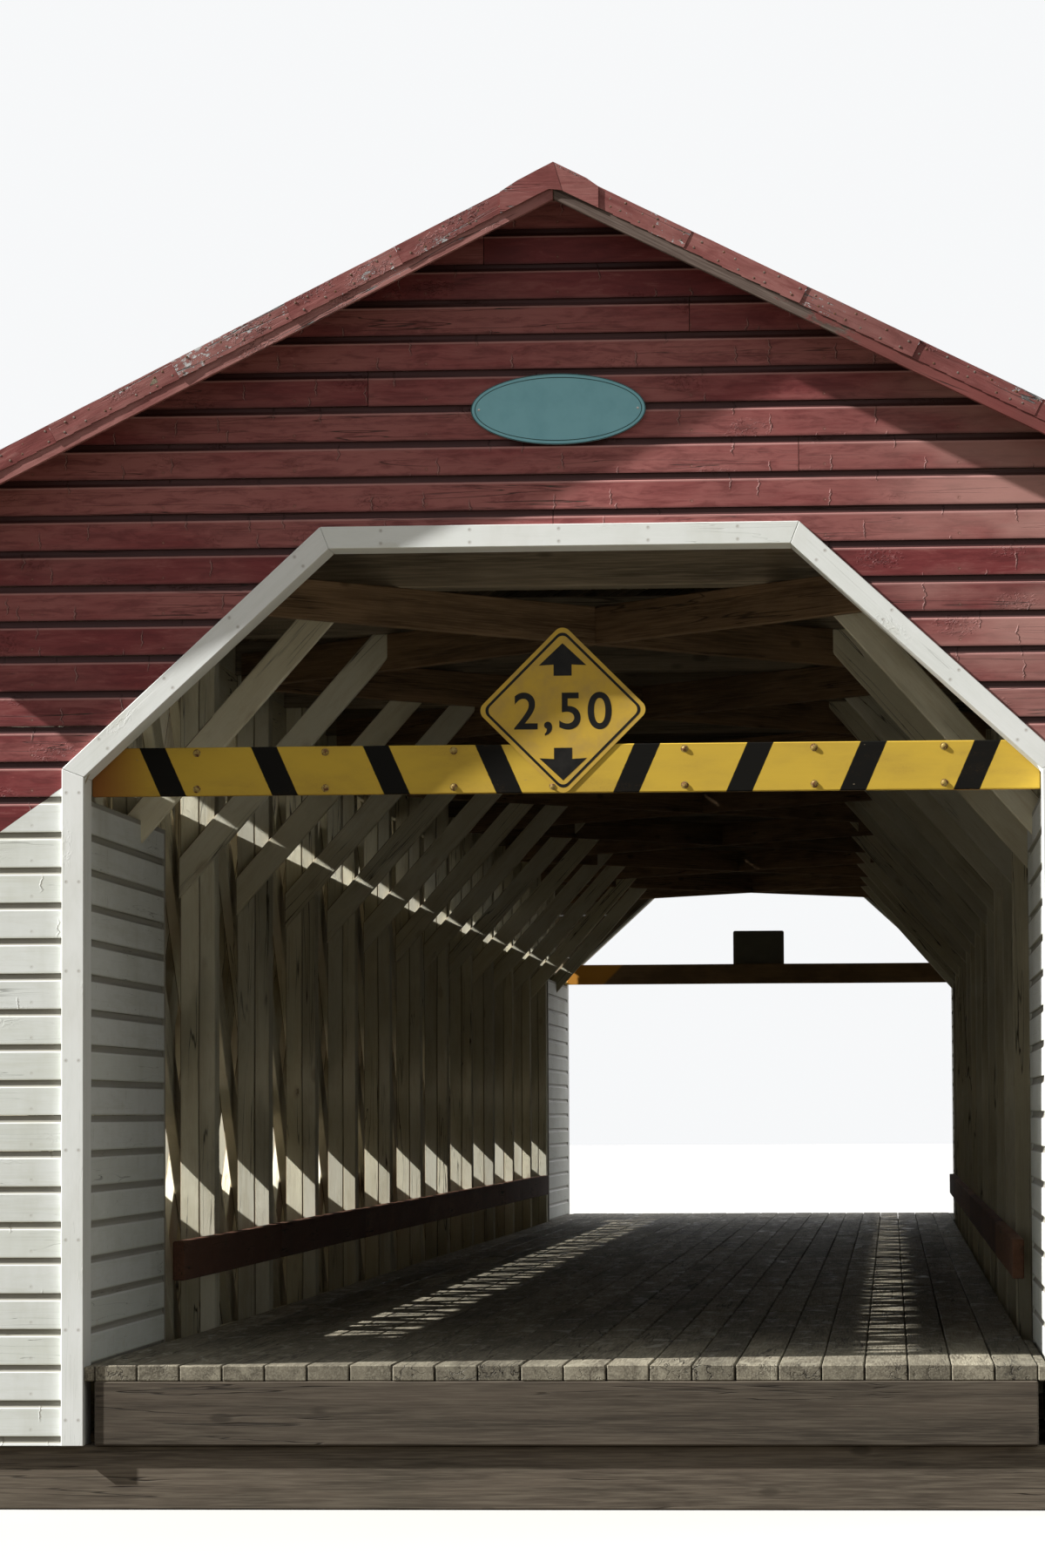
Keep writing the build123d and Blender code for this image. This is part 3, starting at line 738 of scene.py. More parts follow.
# deck planks run lengthwise in staggered lengths, narrower beside the portal walls
deck = {
    "half": 2.2, "plank": 0.2, "gap": 0.006, "thick": 0.075, "rise": 0.0035, "runs": (2.6, 4.9), "side": 2.25,
}
planks = Lumber(61)
rows = round(2 * deck["half"] / deck["plank"])
for i in range(rows):
    x = -deck["half"] + deck["plank"] * (i + 0.5)
    stops = cuts(planks.draw, -halfLength, halfLength, *deck["runs"])
    for a, b in pairwise(stops):
        thick = deck["thick"] - planks.draw.uniform(0, deck["rise"])
        z = -deck["thick"] + thick / 2
        inset = planks.draw.uniform(0.001, 0.005)
        planks.beam(
            at(x, a + inset, z), at(x, b - inset, z), acrossX, deck["plank"] - deck["gap"], thick,
            max(1, round((b - a) / 0.6)), 0.0014,
        )
for side in (-1, 1):
    for end, depth in ((-1, reveal["near"]), (1, reveal["far"])):
        x, z = side * (deck["half"] + deck["side"]) / 2, -deck["thick"] / 2 - 0.004
        planks.beam(
            at(x, end * halfLength, z), at(x, end * (halfLength - depth), z), acrossX,
            deck["side"] - deck["half"] - 0.003, deck["thick"] - 0.008, 4, 0.001,
        )
planks.piece("deck_planks", "deckPlanks", ("deck_planking",), "deck_wood", 0.005)

under = {
    "stringers": 7, "stringerPitch": 0.65, "stringerThick": 0.12, "stringerDeep": 0.3, "headerThick": 0.1,
    "stringerRuns": (6.0, 9.0), "beamHalf": 2.75, "beamWide": 0.25, "beamDeep": 0.24, "bedHalf": 2.84,
    "bedWide": 0.3, "bedDeep": 0.3, "bedInsets": (0.19, 1.2),
}
stringers = Lumber(62)
for i in range(under["stringers"]):
    x = (i - (under["stringers"] - 1) / 2) * under["stringerPitch"]
    stop = halfLength - under["headerThick"]
    stops = cuts(stringers.draw, -stop, stop, *under["stringerRuns"])
    z = bridge["chordBottom"] + under["stringerDeep"] / 2
    size = (under["stringerThick"], under["stringerDeep"])
    layRuns(stringers, stops, lambda y: at(x, y, z), 0.002, acrossX, *size, 4)
stringers.piece("deck_joists", "floorTimber", ("deck_stringers",), "frame_timber", 0.006)

crossBeams = Lumber(63)
for y in stations:
    z = bridge["chordBottom"] - under["beamDeep"] / 2
    crossBeams.beam(
        at(-under["beamHalf"], y, z), at(under["beamHalf"], y, z), alongY, under["beamWide"],
        under["beamDeep"], 3,
    )
for end in (-1, 1):
    y, z = end * (halfLength - under["headerThick"] / 2), (bridge["chordBottom"] - deck["thick"]) / 2
    crossBeams.beam(
        at(-deck["half"], y, z), at(deck["half"], y, z), alongY, under["headerThick"], under["stringerDeep"],
        3,
    )
crossBeams.piece("cross_beams", "floorTimber", ("floor_beams",), "frame_timber", 0.007)

beds = Lumber(64)
for end in (-1, 1):
    for inset in under["bedInsets"]:
        y, z = end * (halfLength - inset), bridge["chordBottom"] - under["bedDeep"] / 2
        beds.beam(
            at(-under["bedHalf"], y, z), at(under["bedHalf"], y, z), alongY, under["bedWide"],
            under["bedDeep"], 3,
        )
beds.piece("bed_sleepers", "floorTimber", ("bed_timbers",), "frame_timber", 0.008)


crossed = {
    "floor": {"run": 4.9, "inset": 1.5, "width": 0.15, "thick": 0.04},
    "wind": {"run": 4.42, "inset": 0.4, "width": 0.06, "thick": 0.2},
}


def crossedPlanks(lumber, top, run, inset, width, thick, count=7, buttGap=0.001):
    # crosses end to end along the bridge: one plank whole, the other in two halves
    length = 2 * (halfLength - inset) / count
    lean = math.atan2(length, run)
    half = math.hypot(run, length) / 2
    butt = width / 2 * (1 / math.sin(2 * lean) + abs(1 / math.tan(2 * lean))) + buttGap
    for i in range(count):
        centre = at(0, (i - (count - 1) / 2) * length, top - thick / 2)
        whole = Vector((math.cos(lean), math.sin(lean), 0))
        lumber.beam(
            centre - whole * (half - width), centre + whole * (half - width), upZ, thick, width, 4, 0.002,
        )
        for way in (0, math.pi):
            part = Vector((math.cos(way - lean), math.sin(way - lean), 0))
            lumber.beam(centre + part * butt, centre + part * (half - width), upZ, thick, width, 3, 0.002)


bracing = Lumber(65)
crossedPlanks(bracing, bridge["chordBottom"] - under["beamDeep"], **crossed["floor"])
bracing.piece("floor_cross_planks", "floorTimber", ("floor_bracing",), "frame_timber", 0.003)
windPlanks = Lumber(66)
crossedPlanks(windPlanks, bridge["tieBottom"], **crossed["wind"])
windPlanks.piece("wind_planks", "bounceLitPlanks", ("top_bracing",), "frame_timber")
print("stage: floor laid")

# lattice walls: two layers of planks at 45 degrees, clipped to the wall's height and length
lattice = {
    "inner": 2.45, "ply": 0.065, "width": 0.25, "crossing": 1.35, "endGap": 0.4, "top": 3.83, "reach": 6,
    "stray": 0.008,
}


def clipped(outline, low, high):
    # a convex outline of (y, z) pairs cut to a rectangle
    for axis, limit, way in ((0, low[0], 1), (0, high[0], -1), (1, low[1], 1), (1, high[1], -1)):
        kept = []
        for a, b in zip(outline, outline[1:] + outline[:1]):
            inA, inB = (a[axis] - limit) * way >= 0, (b[axis] - limit) * way >= 0
            if inA:
                kept.append(a)
            if inA != inB:
                share = (limit - a[axis]) / (b[axis] - a[axis])
                kept.append((a[0] + (b[0] - a[0]) * share, a[1] + (b[1] - a[1]) * share))
        outline = kept
        if not outline:
            break
    return outline


for sideName, side in sides.items():
    web = Lumber(71 + side)
    low = (-halfLength + lattice["endGap"], bridge["chordBottom"])
    high = (halfLength - lattice["endGap"], lattice["top"])
    pitch = bridge["bay"] / 2
    count = math.ceil((halfLength + high[1]) / pitch)
    for layer, lean in ((0, -1), (1, 1)):
        x = side * (lattice["inner"] + lattice["ply"] * layer)
        along = Vector((0, 1, lean)).normalized()
        across = Vector((0, -lean, 1)).normalized()
        for i in range(-count, count + 1):
            stray = web.draw.uniform(-lattice["stray"], lattice["stray"])
            centre = Vector((0, i * pitch + stray, lattice["crossing"]))
            corners = [
                centre + along * (s * lattice["reach"]) + across * (t * lattice["width"] / 2)
                for s, t in ((-1, -1), (1, -1), (1, 1), (-1, 1))
            ]
            outline = clipped([(p.y, p.z) for p in corners], low, high)
            if len(outline) > 2:
                flat = [at(0, y, z) for y, z in outline]
                web.slab(flat, acrossX * x, acrossX * (side * (lattice["ply"] - 0.0015)), along, across)
    web.piece(f"{sideName}_lattice_planks", "limewashed", (f"{sideName}_lattice",), "truss_wood", 0.005)

# chords clasp the lattice; a wall plate fills the top ones between the ties
chords = {
    "places": (2.405, 2.58), "ply": 0.045, "deep": 0.3, "endGap": 0.06,
    "rows": {"bottom": -0.375, "top": 3.53}, "plate": (2.405, 2.625), "runs": (5.5, 7.4),
}
ties = {"half": 2.84, "near": -0.16, "far": 0.04, "deep": 0.2}
for sideName, side in sides.items():
    for rowName, low in chords["rows"].items():
        wood = Lumber(81 + side + (low > 0) * 4)
        for inner in chords["places"]:
            x, stop = side * (inner + chords["ply"] / 2), halfLength - chords["endGap"]
            stops = cuts(wood.draw, -stop, stop, *chords["runs"])
            z = low + chords["deep"] / 2
            layRuns(wood, stops, lambda y: at(x, y, z), 0.002, upZ, chords["deep"], chords["ply"], 5, 0.002)
        if low > 0:
            edges = [-stop] + [y + ties[e] for y in stations for e in ("near", "far")] + [stop]
            x = side * sum(chords["plate"]) / 2
            for a, b in zip(edges[::2], edges[1::2]):
                z = bridge["tieBottom"] + ties["deep"] / 2
                wood.beam(
                    at(x, a + 0.001, z), at(x, b - 0.001, z), upZ, ties["deep"],
                    chords["plate"][1] - chords["plate"][0], 2,
                )
        wood.piece(
            f"{sideName}_{rowName}_chord_planks", "limewashed", (f"{sideName}_{rowName}_chord",),
            "frame_timber", 0.005,
        )

# double posts with an open seam, studs, braces and ties
posts = {
    "inner": 2.21, "outer": 2.405, "size": 0.2, "seam": 0.0035, "lining": 2.28, "wave": 0.007, "wane": 0.006,
    "parts": 14,
}


def splitPost(wood, side, inner, outer, y):
    # two halves side by side; the seam wanders and the inner arris is a little waney
    where = wood.draw.uniform(0, 90)
    low, high = bridge["chordBottom"], bridge["tieBottom"]
    halves = ([], [])
    for k in range(posts["parts"] + 1):
        z = low + (high - low) * k / posts["parts"]
        seam = (inner + outer) / 2 - 0.01 + noise.noise(Vector((where, z * 1.1, 0))) * posts["wave"]
        wane = abs(noise.noise(Vector((where, z * 1.7, 9)))) * posts["wane"]
        shift = noise.noise(Vector((where, z * 0.8, 5))) * 0.003
        for ring, a, b in ((halves[0], inner + wane, seam), (halves[1], seam + posts["seam"], outer - 0.001)):
            near, far = y - posts["size"] / 2 + 0.004 + shift, y + posts["size"] / 2 - 0.004 + shift
            ring.append(
                [at(side * a, near, z), at(side * b, near, z), at(side * b, far, z), at(side * a, far, z)]
            )
    for rings in halves:
        wood.loft(rings, upZ, acrossX, rings[0][0])


for sideName, side in sides.items():
    wood = Lumber(91 + side)
    for n, y in enumerate(stations):
        splitPost(
            wood, side, posts["lining"] if n in (0, len(stations) - 1) else posts["inner"], posts["outer"], y,
        )
    wood.piece(f"{sideName}_double_posts", "limewashed", (f"{sideName}_posts",), "truss_wood", 0.0035)

battens = {"inner": 2.625, "outer": 2.84, "thick": 0.05, "top": 3.7}
studs = Lumber(95)
for side in (-1, 1):
    for i in range(2 * bridge["bays"] + 3):
        y, x = (i - bridge["bays"] - 1) * bridge["bay"] / 2, side * (battens["inner"] + battens["outer"]) / 2
        low, high = at(x, y, bridge["chordBottom"]), at(x, y, battens["top"])
        studs.beam(low, high, acrossX, battens["outer"] - battens["inner"], battens["thick"], 5, 0.002)
studs.piece("siding_battens", "limewashed", ("siding_studs",), "frame_timber")

braces = {
    "x": 2.405, "low": 2.377, "high": 2.603, "rise": 1.13, "near": -0.1, "thick": 0.06,
    "slip": (-0.012, 0.004),
}
wood = Lumber(96)
for y in stations:
    for side in (-1, 1):
        def along(z, foot):
            return side * (braces["x"] - (z - foot) / braces["rise"])
        top = bridge["tieBottom"]
        outline = [
            (side * braces["x"], braces["low"]), (along(top, braces["low"]), top),
            (along(top, braces["high"]), top), (side * braces["x"], braces["high"]),
        ]
        lean = Vector((-side, 0, braces["rise"])).normalized()
        drop = wood.draw.uniform(*braces["slip"])
        flat = [at(x, 0, z + (drop if z < top else 0)) for x, z in outline]
        wood.slab(
            flat, alongY * (y + braces["near"]), alongY * -braces["thick"], lean,
            lean.cross(alongY).normalized(),
        )
wood.piece("knee_brace_planks", "limewashed", ("knee_braces",), "truss_wood", 0.005)

wood = Lumber(97)
for y in stations:
    middle, z = y + (ties["near"] + ties["far"]) / 2, bridge["tieBottom"] + ties["deep"] / 2
    wood.beam(
        at(-ties["half"], middle, z), at(ties["half"], middle, z), alongY, ties["far"] - ties["near"],
        ties["deep"], 5, 0.003,
    )
wood.piece("tie_timbers", "roofTimber", ("tie_beams",), "frame_timber", 0.006)

rails = {"inner": 2.15, "outer": 2.21, "thick": 0.06, "low": 0.305, "high": 0.51, "farGap": 1.6}
wood = Lumber(98)
for side in (-1, 1):
    x, z = side * (rails["inner"] + rails["outer"]) / 2, (rails["low"] + rails["high"]) / 2
    start, stop = -halfLength + reveal["near"], halfLength - reveal["far"] - rails["farGap"]
    stops = [start] + [y for y in stations[2:-1:2] if y < stop - 1] + [stop]
    deep = rails["high"] - rails["low"]
    layRuns(wood, stops, lambda y: at(x, y, z), 0.002, upZ, deep, rails["thick"], 6, 0.003)
wood.piece("guard_rail_planks", "railPaint", ("guard_rails",), "rail_paint", 0.006)
print("stage: trusses framed")

# rafters with a bird's mouth over the wall plate
rafter = {
    "deep": 0.224, "thick": 0.05, "spaces": 44, "tail": 3.35, "tailCut": 3.74, "ridgeGap": 0.015,
    "plateOut": 2.625,
}
slopeLean = math.atan(bridge["roofSlope"])
slopeLength = bridge["roofHalf"] / math.cos(slopeLean)
belowRafter = bridge["roofCover"] + rafter["deep"]
plateTop = bridge["tieBottom"] + ties["deep"]
rafterOutline = [
    (rafter["ridgeGap"], roofAt(rafter["ridgeGap"], bridge["roofCover"])),
    (rafter["tail"], roofAt(rafter["tail"], bridge["roofCover"])),
    (rafter["tail"], rafter["tailCut"]),
    ((bridge["ridge"] - belowRafter - rafter["tailCut"]) / bridge["roofSlope"], rafter["tailCut"]),
    (rafter["plateOut"], roofAt(rafter["plateOut"], belowRafter)),
    (rafter["plateOut"], plateTop),
    ((bridge["ridge"] - belowRafter - plateTop) / bridge["roofSlope"], plateTop),
    (rafter["ridgeGap"], roofAt(rafter["ridgeGap"], belowRafter)),
]
wood = Lumber(101)
rafterPitch = 2 * (halfLength - 0.03 - rafter["thick"] / 2) / rafter["spaces"]
for i in range(rafter["spaces"] + 1):
    y = (i - rafter["spaces"] / 2) * rafterPitch
    for side in (-1, 1):
        downhill = Vector((side * math.cos(slopeLean), 0, -math.sin(slopeLean)))
        flat = [at(side * x, 0, z) for x, z in rafterOutline]
        wood.slab(
            flat, alongY * (y - rafter["thick"] / 2), alongY * rafter["thick"], downhill,
            downhill.cross(alongY).normalized(),
        )
wood.piece("rafter_pairs", "roofTimber", ("rafters",), "frame_timber", 0)


def onRoof(side, run, below, y):
    # a point on a slope: run down from the ridge, depth below the roof's top plane
    downhill = Vector((side * math.cos(slopeLean), 0, -math.sin(slopeLean)))
    outward = Vector((side * math.sin(slopeLean), 0, math.cos(slopeLean)))
    return at(0, y, bridge["ridge"]) + downhill * run - outward * below


roof = {
    "end": halfLength + bridge["overhang"], "boardWide": 0.145, "boardPitch": 0.172, "boardTop": 0.03,
    "boardThick": 0.0245, "boardInset": 0.01, "boardRuns": (4.0, 7.3), "exposure": 0.0959, "buttHigh": 0.0245,
    "headHigh": 0.0125, "gap": 0.003, "widths": (0.075, 0.2), "edge": 0.05,
}
for sideName, side in sides.items():
    boards, shingles = Lumber(111 + side), Lumber(114 + side)
    downhill = (onRoof(side, 1, 0, 0) - onRoof(side, 0, 0, 0))
    run = slopeLength - roof["boardWide"] / 2 - 0.002
    while run > roof["boardWide"] / 2:
        stop = roof["end"] - roof["boardInset"]
        stops = cuts(boards.draw, -stop, stop, *roof["boardRuns"])
        middle, size = roof["boardTop"] + roof["boardThick"] / 2, (roof["boardWide"], roof["boardThick"])
        layRuns(boards, stops, lambda y: onRoof(side, run, middle, y), 0.001, downhill, *size, 3, 0.0015)
        run -= roof["boardPitch"]
    boards.piece(f"{sideName}_roof_boards", "roofTimber", (), "frame_timber", 0)
    for row in range(math.floor(slopeLength / roof["exposure"])):
        butt = slopeLength - row * roof["exposure"]
        y = -roof["end"] + roof["edge"]
        while y < roof["end"] - roof["edge"] - 0.03:
            wide = shingles.draw.uniform(*roof["widths"])
            stop = min(y + wide, roof["end"] - roof["edge"])
            slip, lift = shingles.draw.uniform(-0.007, -0.003), shingles.draw.uniform(0, 0.003)
            rings = []
            for place in (y, stop - roof["gap"]):
                twist = shingles.draw.uniform(-0.0015, 0.0015)
                low, high = butt + slip + twist, butt - roof["exposure"]
                rings.append([
                    onRoof(side, low, roof["boardTop"], place),
                    onRoof(side, low, roof["boardTop"] - roof["buttHigh"] + lift, place),
                    onRoof(side, high, roof["boardTop"] - roof["headHigh"], place),
                    onRoof(side, high, roof["boardTop"], place),
                ])
            shingles.loft(rings, downhill, alongY, rings[0][0])
            y = stop
    shingles.piece(f"{sideName}_shingles", "cedarShingles", (f"{sideName}_roof",), "roof_shingle", 0)
print("stage: roof shingled")

cap = {"wide": 0.16, "thick": 0.014, "runs": (3.0, 4.6)}
wood = Lumber(121)
for side in (-1, 1):
    stops = cuts(wood.draw, -roof["end"], roof["end"], *cap["runs"])
    for a, b in pairwise(stops):
        outline = [
            (0.0, 0.0), (side * cap["wide"], 0.0), (side * cap["wide"], cap["thick"]), (0.0, cap["thick"]),
        ]
        rings = [[at(x, y, roofAt(x) + rise) for x, rise in outline] for y in (a + 0.001, b - 0.001)]
        downhill = onRoof(side, 1, 0, 0) - onRoof(side, 0, 0, 0)
        wood.loft(rings, alongY, downhill, rings[0][0])
wood.piece("ridge_boards", "redTrim", ("ridge_cap",), "red_trim", 0.003)

eaves = {"x": 3.35, "thick": 0.022, "deep": 0.12, "inset": 0.035, "runs": (3.0, 4.8)}
wood = Lumber(122)
for side in (-1, 1):
    stop, x = roof["end"] - eaves["inset"], side * (eaves["x"] + eaves["thick"] / 2)
    z = roofAt(eaves["x"] + eaves["thick"], bridge["roofCover"]) - eaves["deep"] / 2
    stops = cuts(wood.draw, -stop, stop, *eaves["runs"])
    layRuns(wood, stops, lambda y: at(x, y, z), 0.001, upZ, eaves["deep"], eaves["thick"], 5, 0.002)
wood.piece("eave_fascia", "redTrim", ("eave_boards",), "red_trim", 0.003)

# each rake: a weathered board under nailed edging, in short lengths that lap and curl at their lower ends
rake = {
    "thick": 0.027, "low": 0.157, "high": 0.062, "back": 0.043, "strip": 0.012, "stripLow": 0.088,
    "tooth": 0.004, "rise": (0.0012, 0.0045), "curl": 0.003, "flange": 0.06, "length": 0.61, "first": 0.17,
    "top": -0.004, "lump": 0.0026, "ridgeGap": 0.002, "parts": 8, "sag": 0.003, "inset": 0.0022,
    "lowGap": 0.0045, "nailRows": (0.02, 0.062), "boardFinish": {-1: "rakePaint", 1: "rakeWood"},
}
# the folded sheet over the ridge: places across it, with the height of its top edge over the roof's plane
saddle = {
    "left": ((-0.25, 0.004), (-0.17, 0.0155), (-0.08, 0.017), (-0.02, 0.017), (0.0, 0.017)), "seam": 0.04,
    "right": ((-0.02, 0.0165), (0.0, 0.0165), (0.08, 0.0165), (0.155, 0.0155), (0.21, 0.003)), "low": 0.098,
    "crease": 0.0022,
}
nails = Lumber(125)
for endName, end in ends.items():
    strip = Lumber(129 + end)
    for sideName, side in sides.items():
        wood = Lumber(126 + end + side * 20)
        downhill = onRoof(side, 1, 0, 0) - onRoof(side, 0, 0, 0)
        back = end * (roof["end"] - rake["back"])
        rings, face = [], back + end * rake["thick"]
        for k in range(rake["parts"] + 1):
            x = rake["ridgeGap"] + (bridge["roofHalf"] - rake["ridgeGap"]) * k / rake["parts"]
            low = rake["low"] + noise.noise(Vector((x * 1.3, end * 7, side * 3))) * rake["sag"]
            corners = ((rake["high"], back), (rake["high"], face), (low, face), (low, back))
            rings.append([at(side * x, y, roofAt(x, below)) for below, y in corners])
        wood.loft(rings, downhill, downhill.cross(alongY).normalized(), rings[0][2])
        finish = rake["boardFinish"][side * -end]
        wood.piece(f"{endName}_{sideName}_rake_plank", finish, (f"{endName}_rake_boards",), "red_trim", 0.003)
        start = rake["first"]
        while start < slopeLength - 0.05:
            stop = start + rake["length"] + strip.draw.uniform(-0.06, 0.06)
            if stop > slopeLength - 0.2:
                stop = slopeLength - rake["lowGap"]
            rings, teeth = [], max(1, round((stop - start) / roof["exposure"]))
            twist, rise = strip.draw.uniform(-1, 1), strip.draw.uniform(*rake["rise"])
            for k in range(teeth):
                for share, lift in ((k / teeth, 0.0), ((k + 1) / teeth - 0.002, rake["tooth"])):
                    run = start + (stop - start) * share
                    lump = noise.noise_vector(Vector((run * 23.0, end * 5 + twist, side * 9))) * rake["lump"]
                    curl = rake["curl"] * rise / rake["rise"][1] if share > 0.95 else 0.0
                    proud = roof["end"] - rake["inset"] - rake["rise"][1] - rake["curl"] + rise * share + curl
                    face, rear = end * (proud - abs(lump.x)), end * (roof["end"] - rake["strip"])
                    bulge, flange = end * (proud - abs(lump.y)), end * (roof["end"] - rake["flange"])
                    top, deep = rake["top"] + abs(lump.z), rake["stripLow"] - lift
                    places = (
                        (top, face), (0.045, bulge), (deep, face), (deep, rear), (top + 0.006, rear),
                        (top + 0.006, flange), (top, flange),
                    )
                    rings.append([onRoof(side, run, below, y) for below, y in places])
                    if lift:
                        for row in rake["nailRows"]:
                            spot = onRoof(
                                side, run - nails.draw.uniform(0.01, 0.09),
                                row + nails.draw.uniform(-0.008, 0.008), face,
                            )
                            nails.stud(
                                spot, alongY * end, ((0.006, -0.004), (0.006, 0.0004), (0.003, 0.0012)), 6,
                            )
            strip.loft(rings, downhill, downhill.cross(alongY).normalized(), rings[0][2])
            start = stop
    for half, inset in (("right", rake["inset"] - 0.0006), ("left", rake["inset"] - 0.0018)):
        rings, across = [], -end
        for x, rise in saddle[half]:
            crease = abs(noise.noise(Vector((x * 11, end * 4, 3)))) * saddle["crease"]
            lean = saddle["seam"] if half == "left" and x == 0.0 else 0.0
            front, rear = end * (roof["end"] - inset - crease), end * (roof["end"] - rake["strip"])
            top, low = roofAt(x, -rise), roofAt(x + lean, saddle["low"] + crease * 4)
            behind = end * (roof["end"] - rake["flange"] * 1.4)
            places = (
                (x, front, top), (x + lean, front, low), (x + lean, rear, low), (x, rear, top - 0.003),
                (x, behind, top - 0.003), (x, behind, top),
            )
            rings.append([at(across * px, y, z) for px, y, z in places])
        strip.loft(rings, acrossX * across, upZ, rings[0][1])
    strip.piece(f"{endName}_rake_edging", "redTrim", (), "red_trim", 0)
nails.piece("rake_nail_heads", "nailMetal", (), "red_trim", 0)
print("stage: eaves and rakes trimmed")


clearance = {
    "low": 2.68, "high": 2.91, "thick": 0.06, "depth": 0.225, "half": 2.25,
    "bolts": (-1.746, -1.132, -0.52, -0.049, 0.575, 1.186, 1.797), "boltHeights": (2.712, 2.884),
}
boltRings = (
    (0.019, -0.002), (0.019, 0.0022), (0.0135, 0.0026), (0.0125, 0.0075), (0.009, 0.0105), (0.003, 0.012),
)


def beamFinish(name, end):
    # yellow front with black slanting stripes, brown paint on the back
    look = {
        "yellow": (0.62, 0.42, 0.06), "worn": (0.5, 0.335, 0.06), "black": (0.01, 0.0095, 0.0085),
        "orange": (0.32, 0.13, 0.04), "back": (0.2, 0.13, 0.07), "backWorn": (0.3, 0.19, 0.1),
        "wood": (0.3, 0.25, 0.17), "pitch": 0.5345, "width": 0.124, "lean": 0.44, "left": -1.909,
        "right": 0.348, "middle": 2.795, "frontDepth": 0.036, "endColor": (0.75, 0.34, 0.06), "endFrom": 1.68,
    }
    r = Recipe(name)
    world, grain = r.world(), r.vector("grain")
    x, y, z = (r.part(world, i) for i in range(3))
    x = x * -end
    rise = z - (bridge["deckHeight"] + look["middle"])
    grainy = r.streaks(grain, (3, 60, 60), 4, 0.6)
    cloudy = r.streaks(grain, (2.0, 5, 5), 5, 0.6)
    onLeft = 1 - (x > 0.02)
    centre = onLeft * (look["left"] - look["right"]) + look["right"]
    slide = x - centre + rise * look["lean"] * (onLeft * 2 - 1)
    away = abs(r.maths("FRACT", slide / look["pitch"] + 0.5) - 0.5) * look["pitch"]
    ragged = away + (grainy - 0.5) * 0.004
    stripe = 1 - r.smooth(ragged, look["width"] / 2 - 0.002, look["width"] / 2 + 0.002)
    yellow = r.mix(r.smooth(cloudy, 0.35, 0.75), look["yellow"], look["worn"])
    yellow = r.mix(1 - r.smooth(x, -2.26, -1.86), yellow, look["orange"])
    color = r.mix(stripe, yellow, look["black"])
    chip = r.smooth(r.streaks(grain, (14, 34, 34), 6, 0.72), 0.68, 0.71)
    color = r.mix(chip * 0.8, color, look["wood"])
    smear = r.streaks(grain, (22, 30, 30), 2, 0.5, 3.0)
    smear = (1 - r.smooth(abs(smear - 0.5), 0.004, 0.014)) * r.smooth(cloudy, 0.52, 0.62)
    color = r.mix(smear * 0.3, color, (0.16, 0.09, 0.035))
    behind = r.mix(r.smooth(cloudy + (grainy - 0.5) * 0.4, 0.35, 0.7), look["back"], look["backWorn"])
    behind = r.mix(r.smooth(x + rise, look["endFrom"], look["endFrom"] + 0.05), behind, look["endColor"])
    isBack = (halfLength - clearance["depth"] - look["frontDepth"]) - y * end > 0.0
    color = r.mix(isBack, color, behind)
    height = grainy * 0.35 - chip * 0.5 - cloudy * 0.1
    return r.finish(color, 0.55 + cloudy * 0.2 + chip * 0.2, height, 0.0012, {"Specular IOR Level": 0.03})


bolts = Lumber(135)
for endName, end in ends.items():
    beam = Lumber(131 + end)
    y = end * (halfLength - clearance["depth"] - clearance["thick"] / 2)
    z = (clearance["low"] + clearance["high"]) / 2
    half = clearance["half"] - 0.002
    beam.beam(
        at(-half, y, z), at(half, y, z), upZ, clearance["high"] - clearance["low"], clearance["thick"], 9,
        0.0025,
    )
    paint = f"{endName}StripedPaint"
    finishes[paint] = beamFinish(paint, end)
    beam.piece(f"{endName}_striped_beam", paint, (f"{endName}_clearance_beam",), "beam_yellow", 0.004)
    for x in clearance["bolts"]:
        for height in clearance["boltHeights"]:
            if abs(x) < 0.1 and height > clearance["boltHeights"][0]:
                continue
            bolts.stud(
                at(-end * x, end * (halfLength - clearance["depth"] - 0.001), height), alongY * end,
                boltRings, 10,
            )
bolts.piece("beam_bolts", "boltPaint", (), None, 0)


def plateFinish(name, front, worn, back, facing, gloss):
    # a coated plate, with a plain grey back
    r = Recipe(name)
    world = r.world()
    cloudy = r.noise(world, 9.0, 5, 0.6)
    fine = r.noise(world, 160.0, 3, 0.6)
    color = r.mix(r.smooth(cloudy, 0.35, 0.75), front, worn)
    scuff = r.smooth(r.streaks(world, (40, 40, 90), 6, 0.75), 0.68, 0.74)
    color = r.mix(scuff * 0.4, color, (0.25, 0.22, 0.17))
    normal = r.node("NewGeometry", {}, {}, 1)
    isBack = (0.5 - r.part(normal, 1) * facing) > 0.0
    color = r.mix(isBack, color, r.mix(cloudy, back, tuple(c * 1.5 for c in back)))
    return r.finish(color, gloss + cloudy * 0.15 + scuff * 0.2, cloudy + fine * 0.15, 0.0008)


def dullFinish(name, color, worn, gloss):
    r = Recipe(name)
    world = r.world()
    cloudy = r.noise(world, 14.0, 5, 0.6)
    fleck = r.smooth(r.noise(world, 120.0, 5, 0.7), 0.66, 0.72)
    shade = r.mix(r.smooth(cloudy, 0.35, 0.75), color, worn)
    shade = r.mix(fleck * 0.2, shade, tuple(0.2 + c * 0.5 for c in worn))
    return r.finish(shade, gloss + cloudy * 0.15, fleck, 0.0003, {"Specular IOR Level": 0.1})


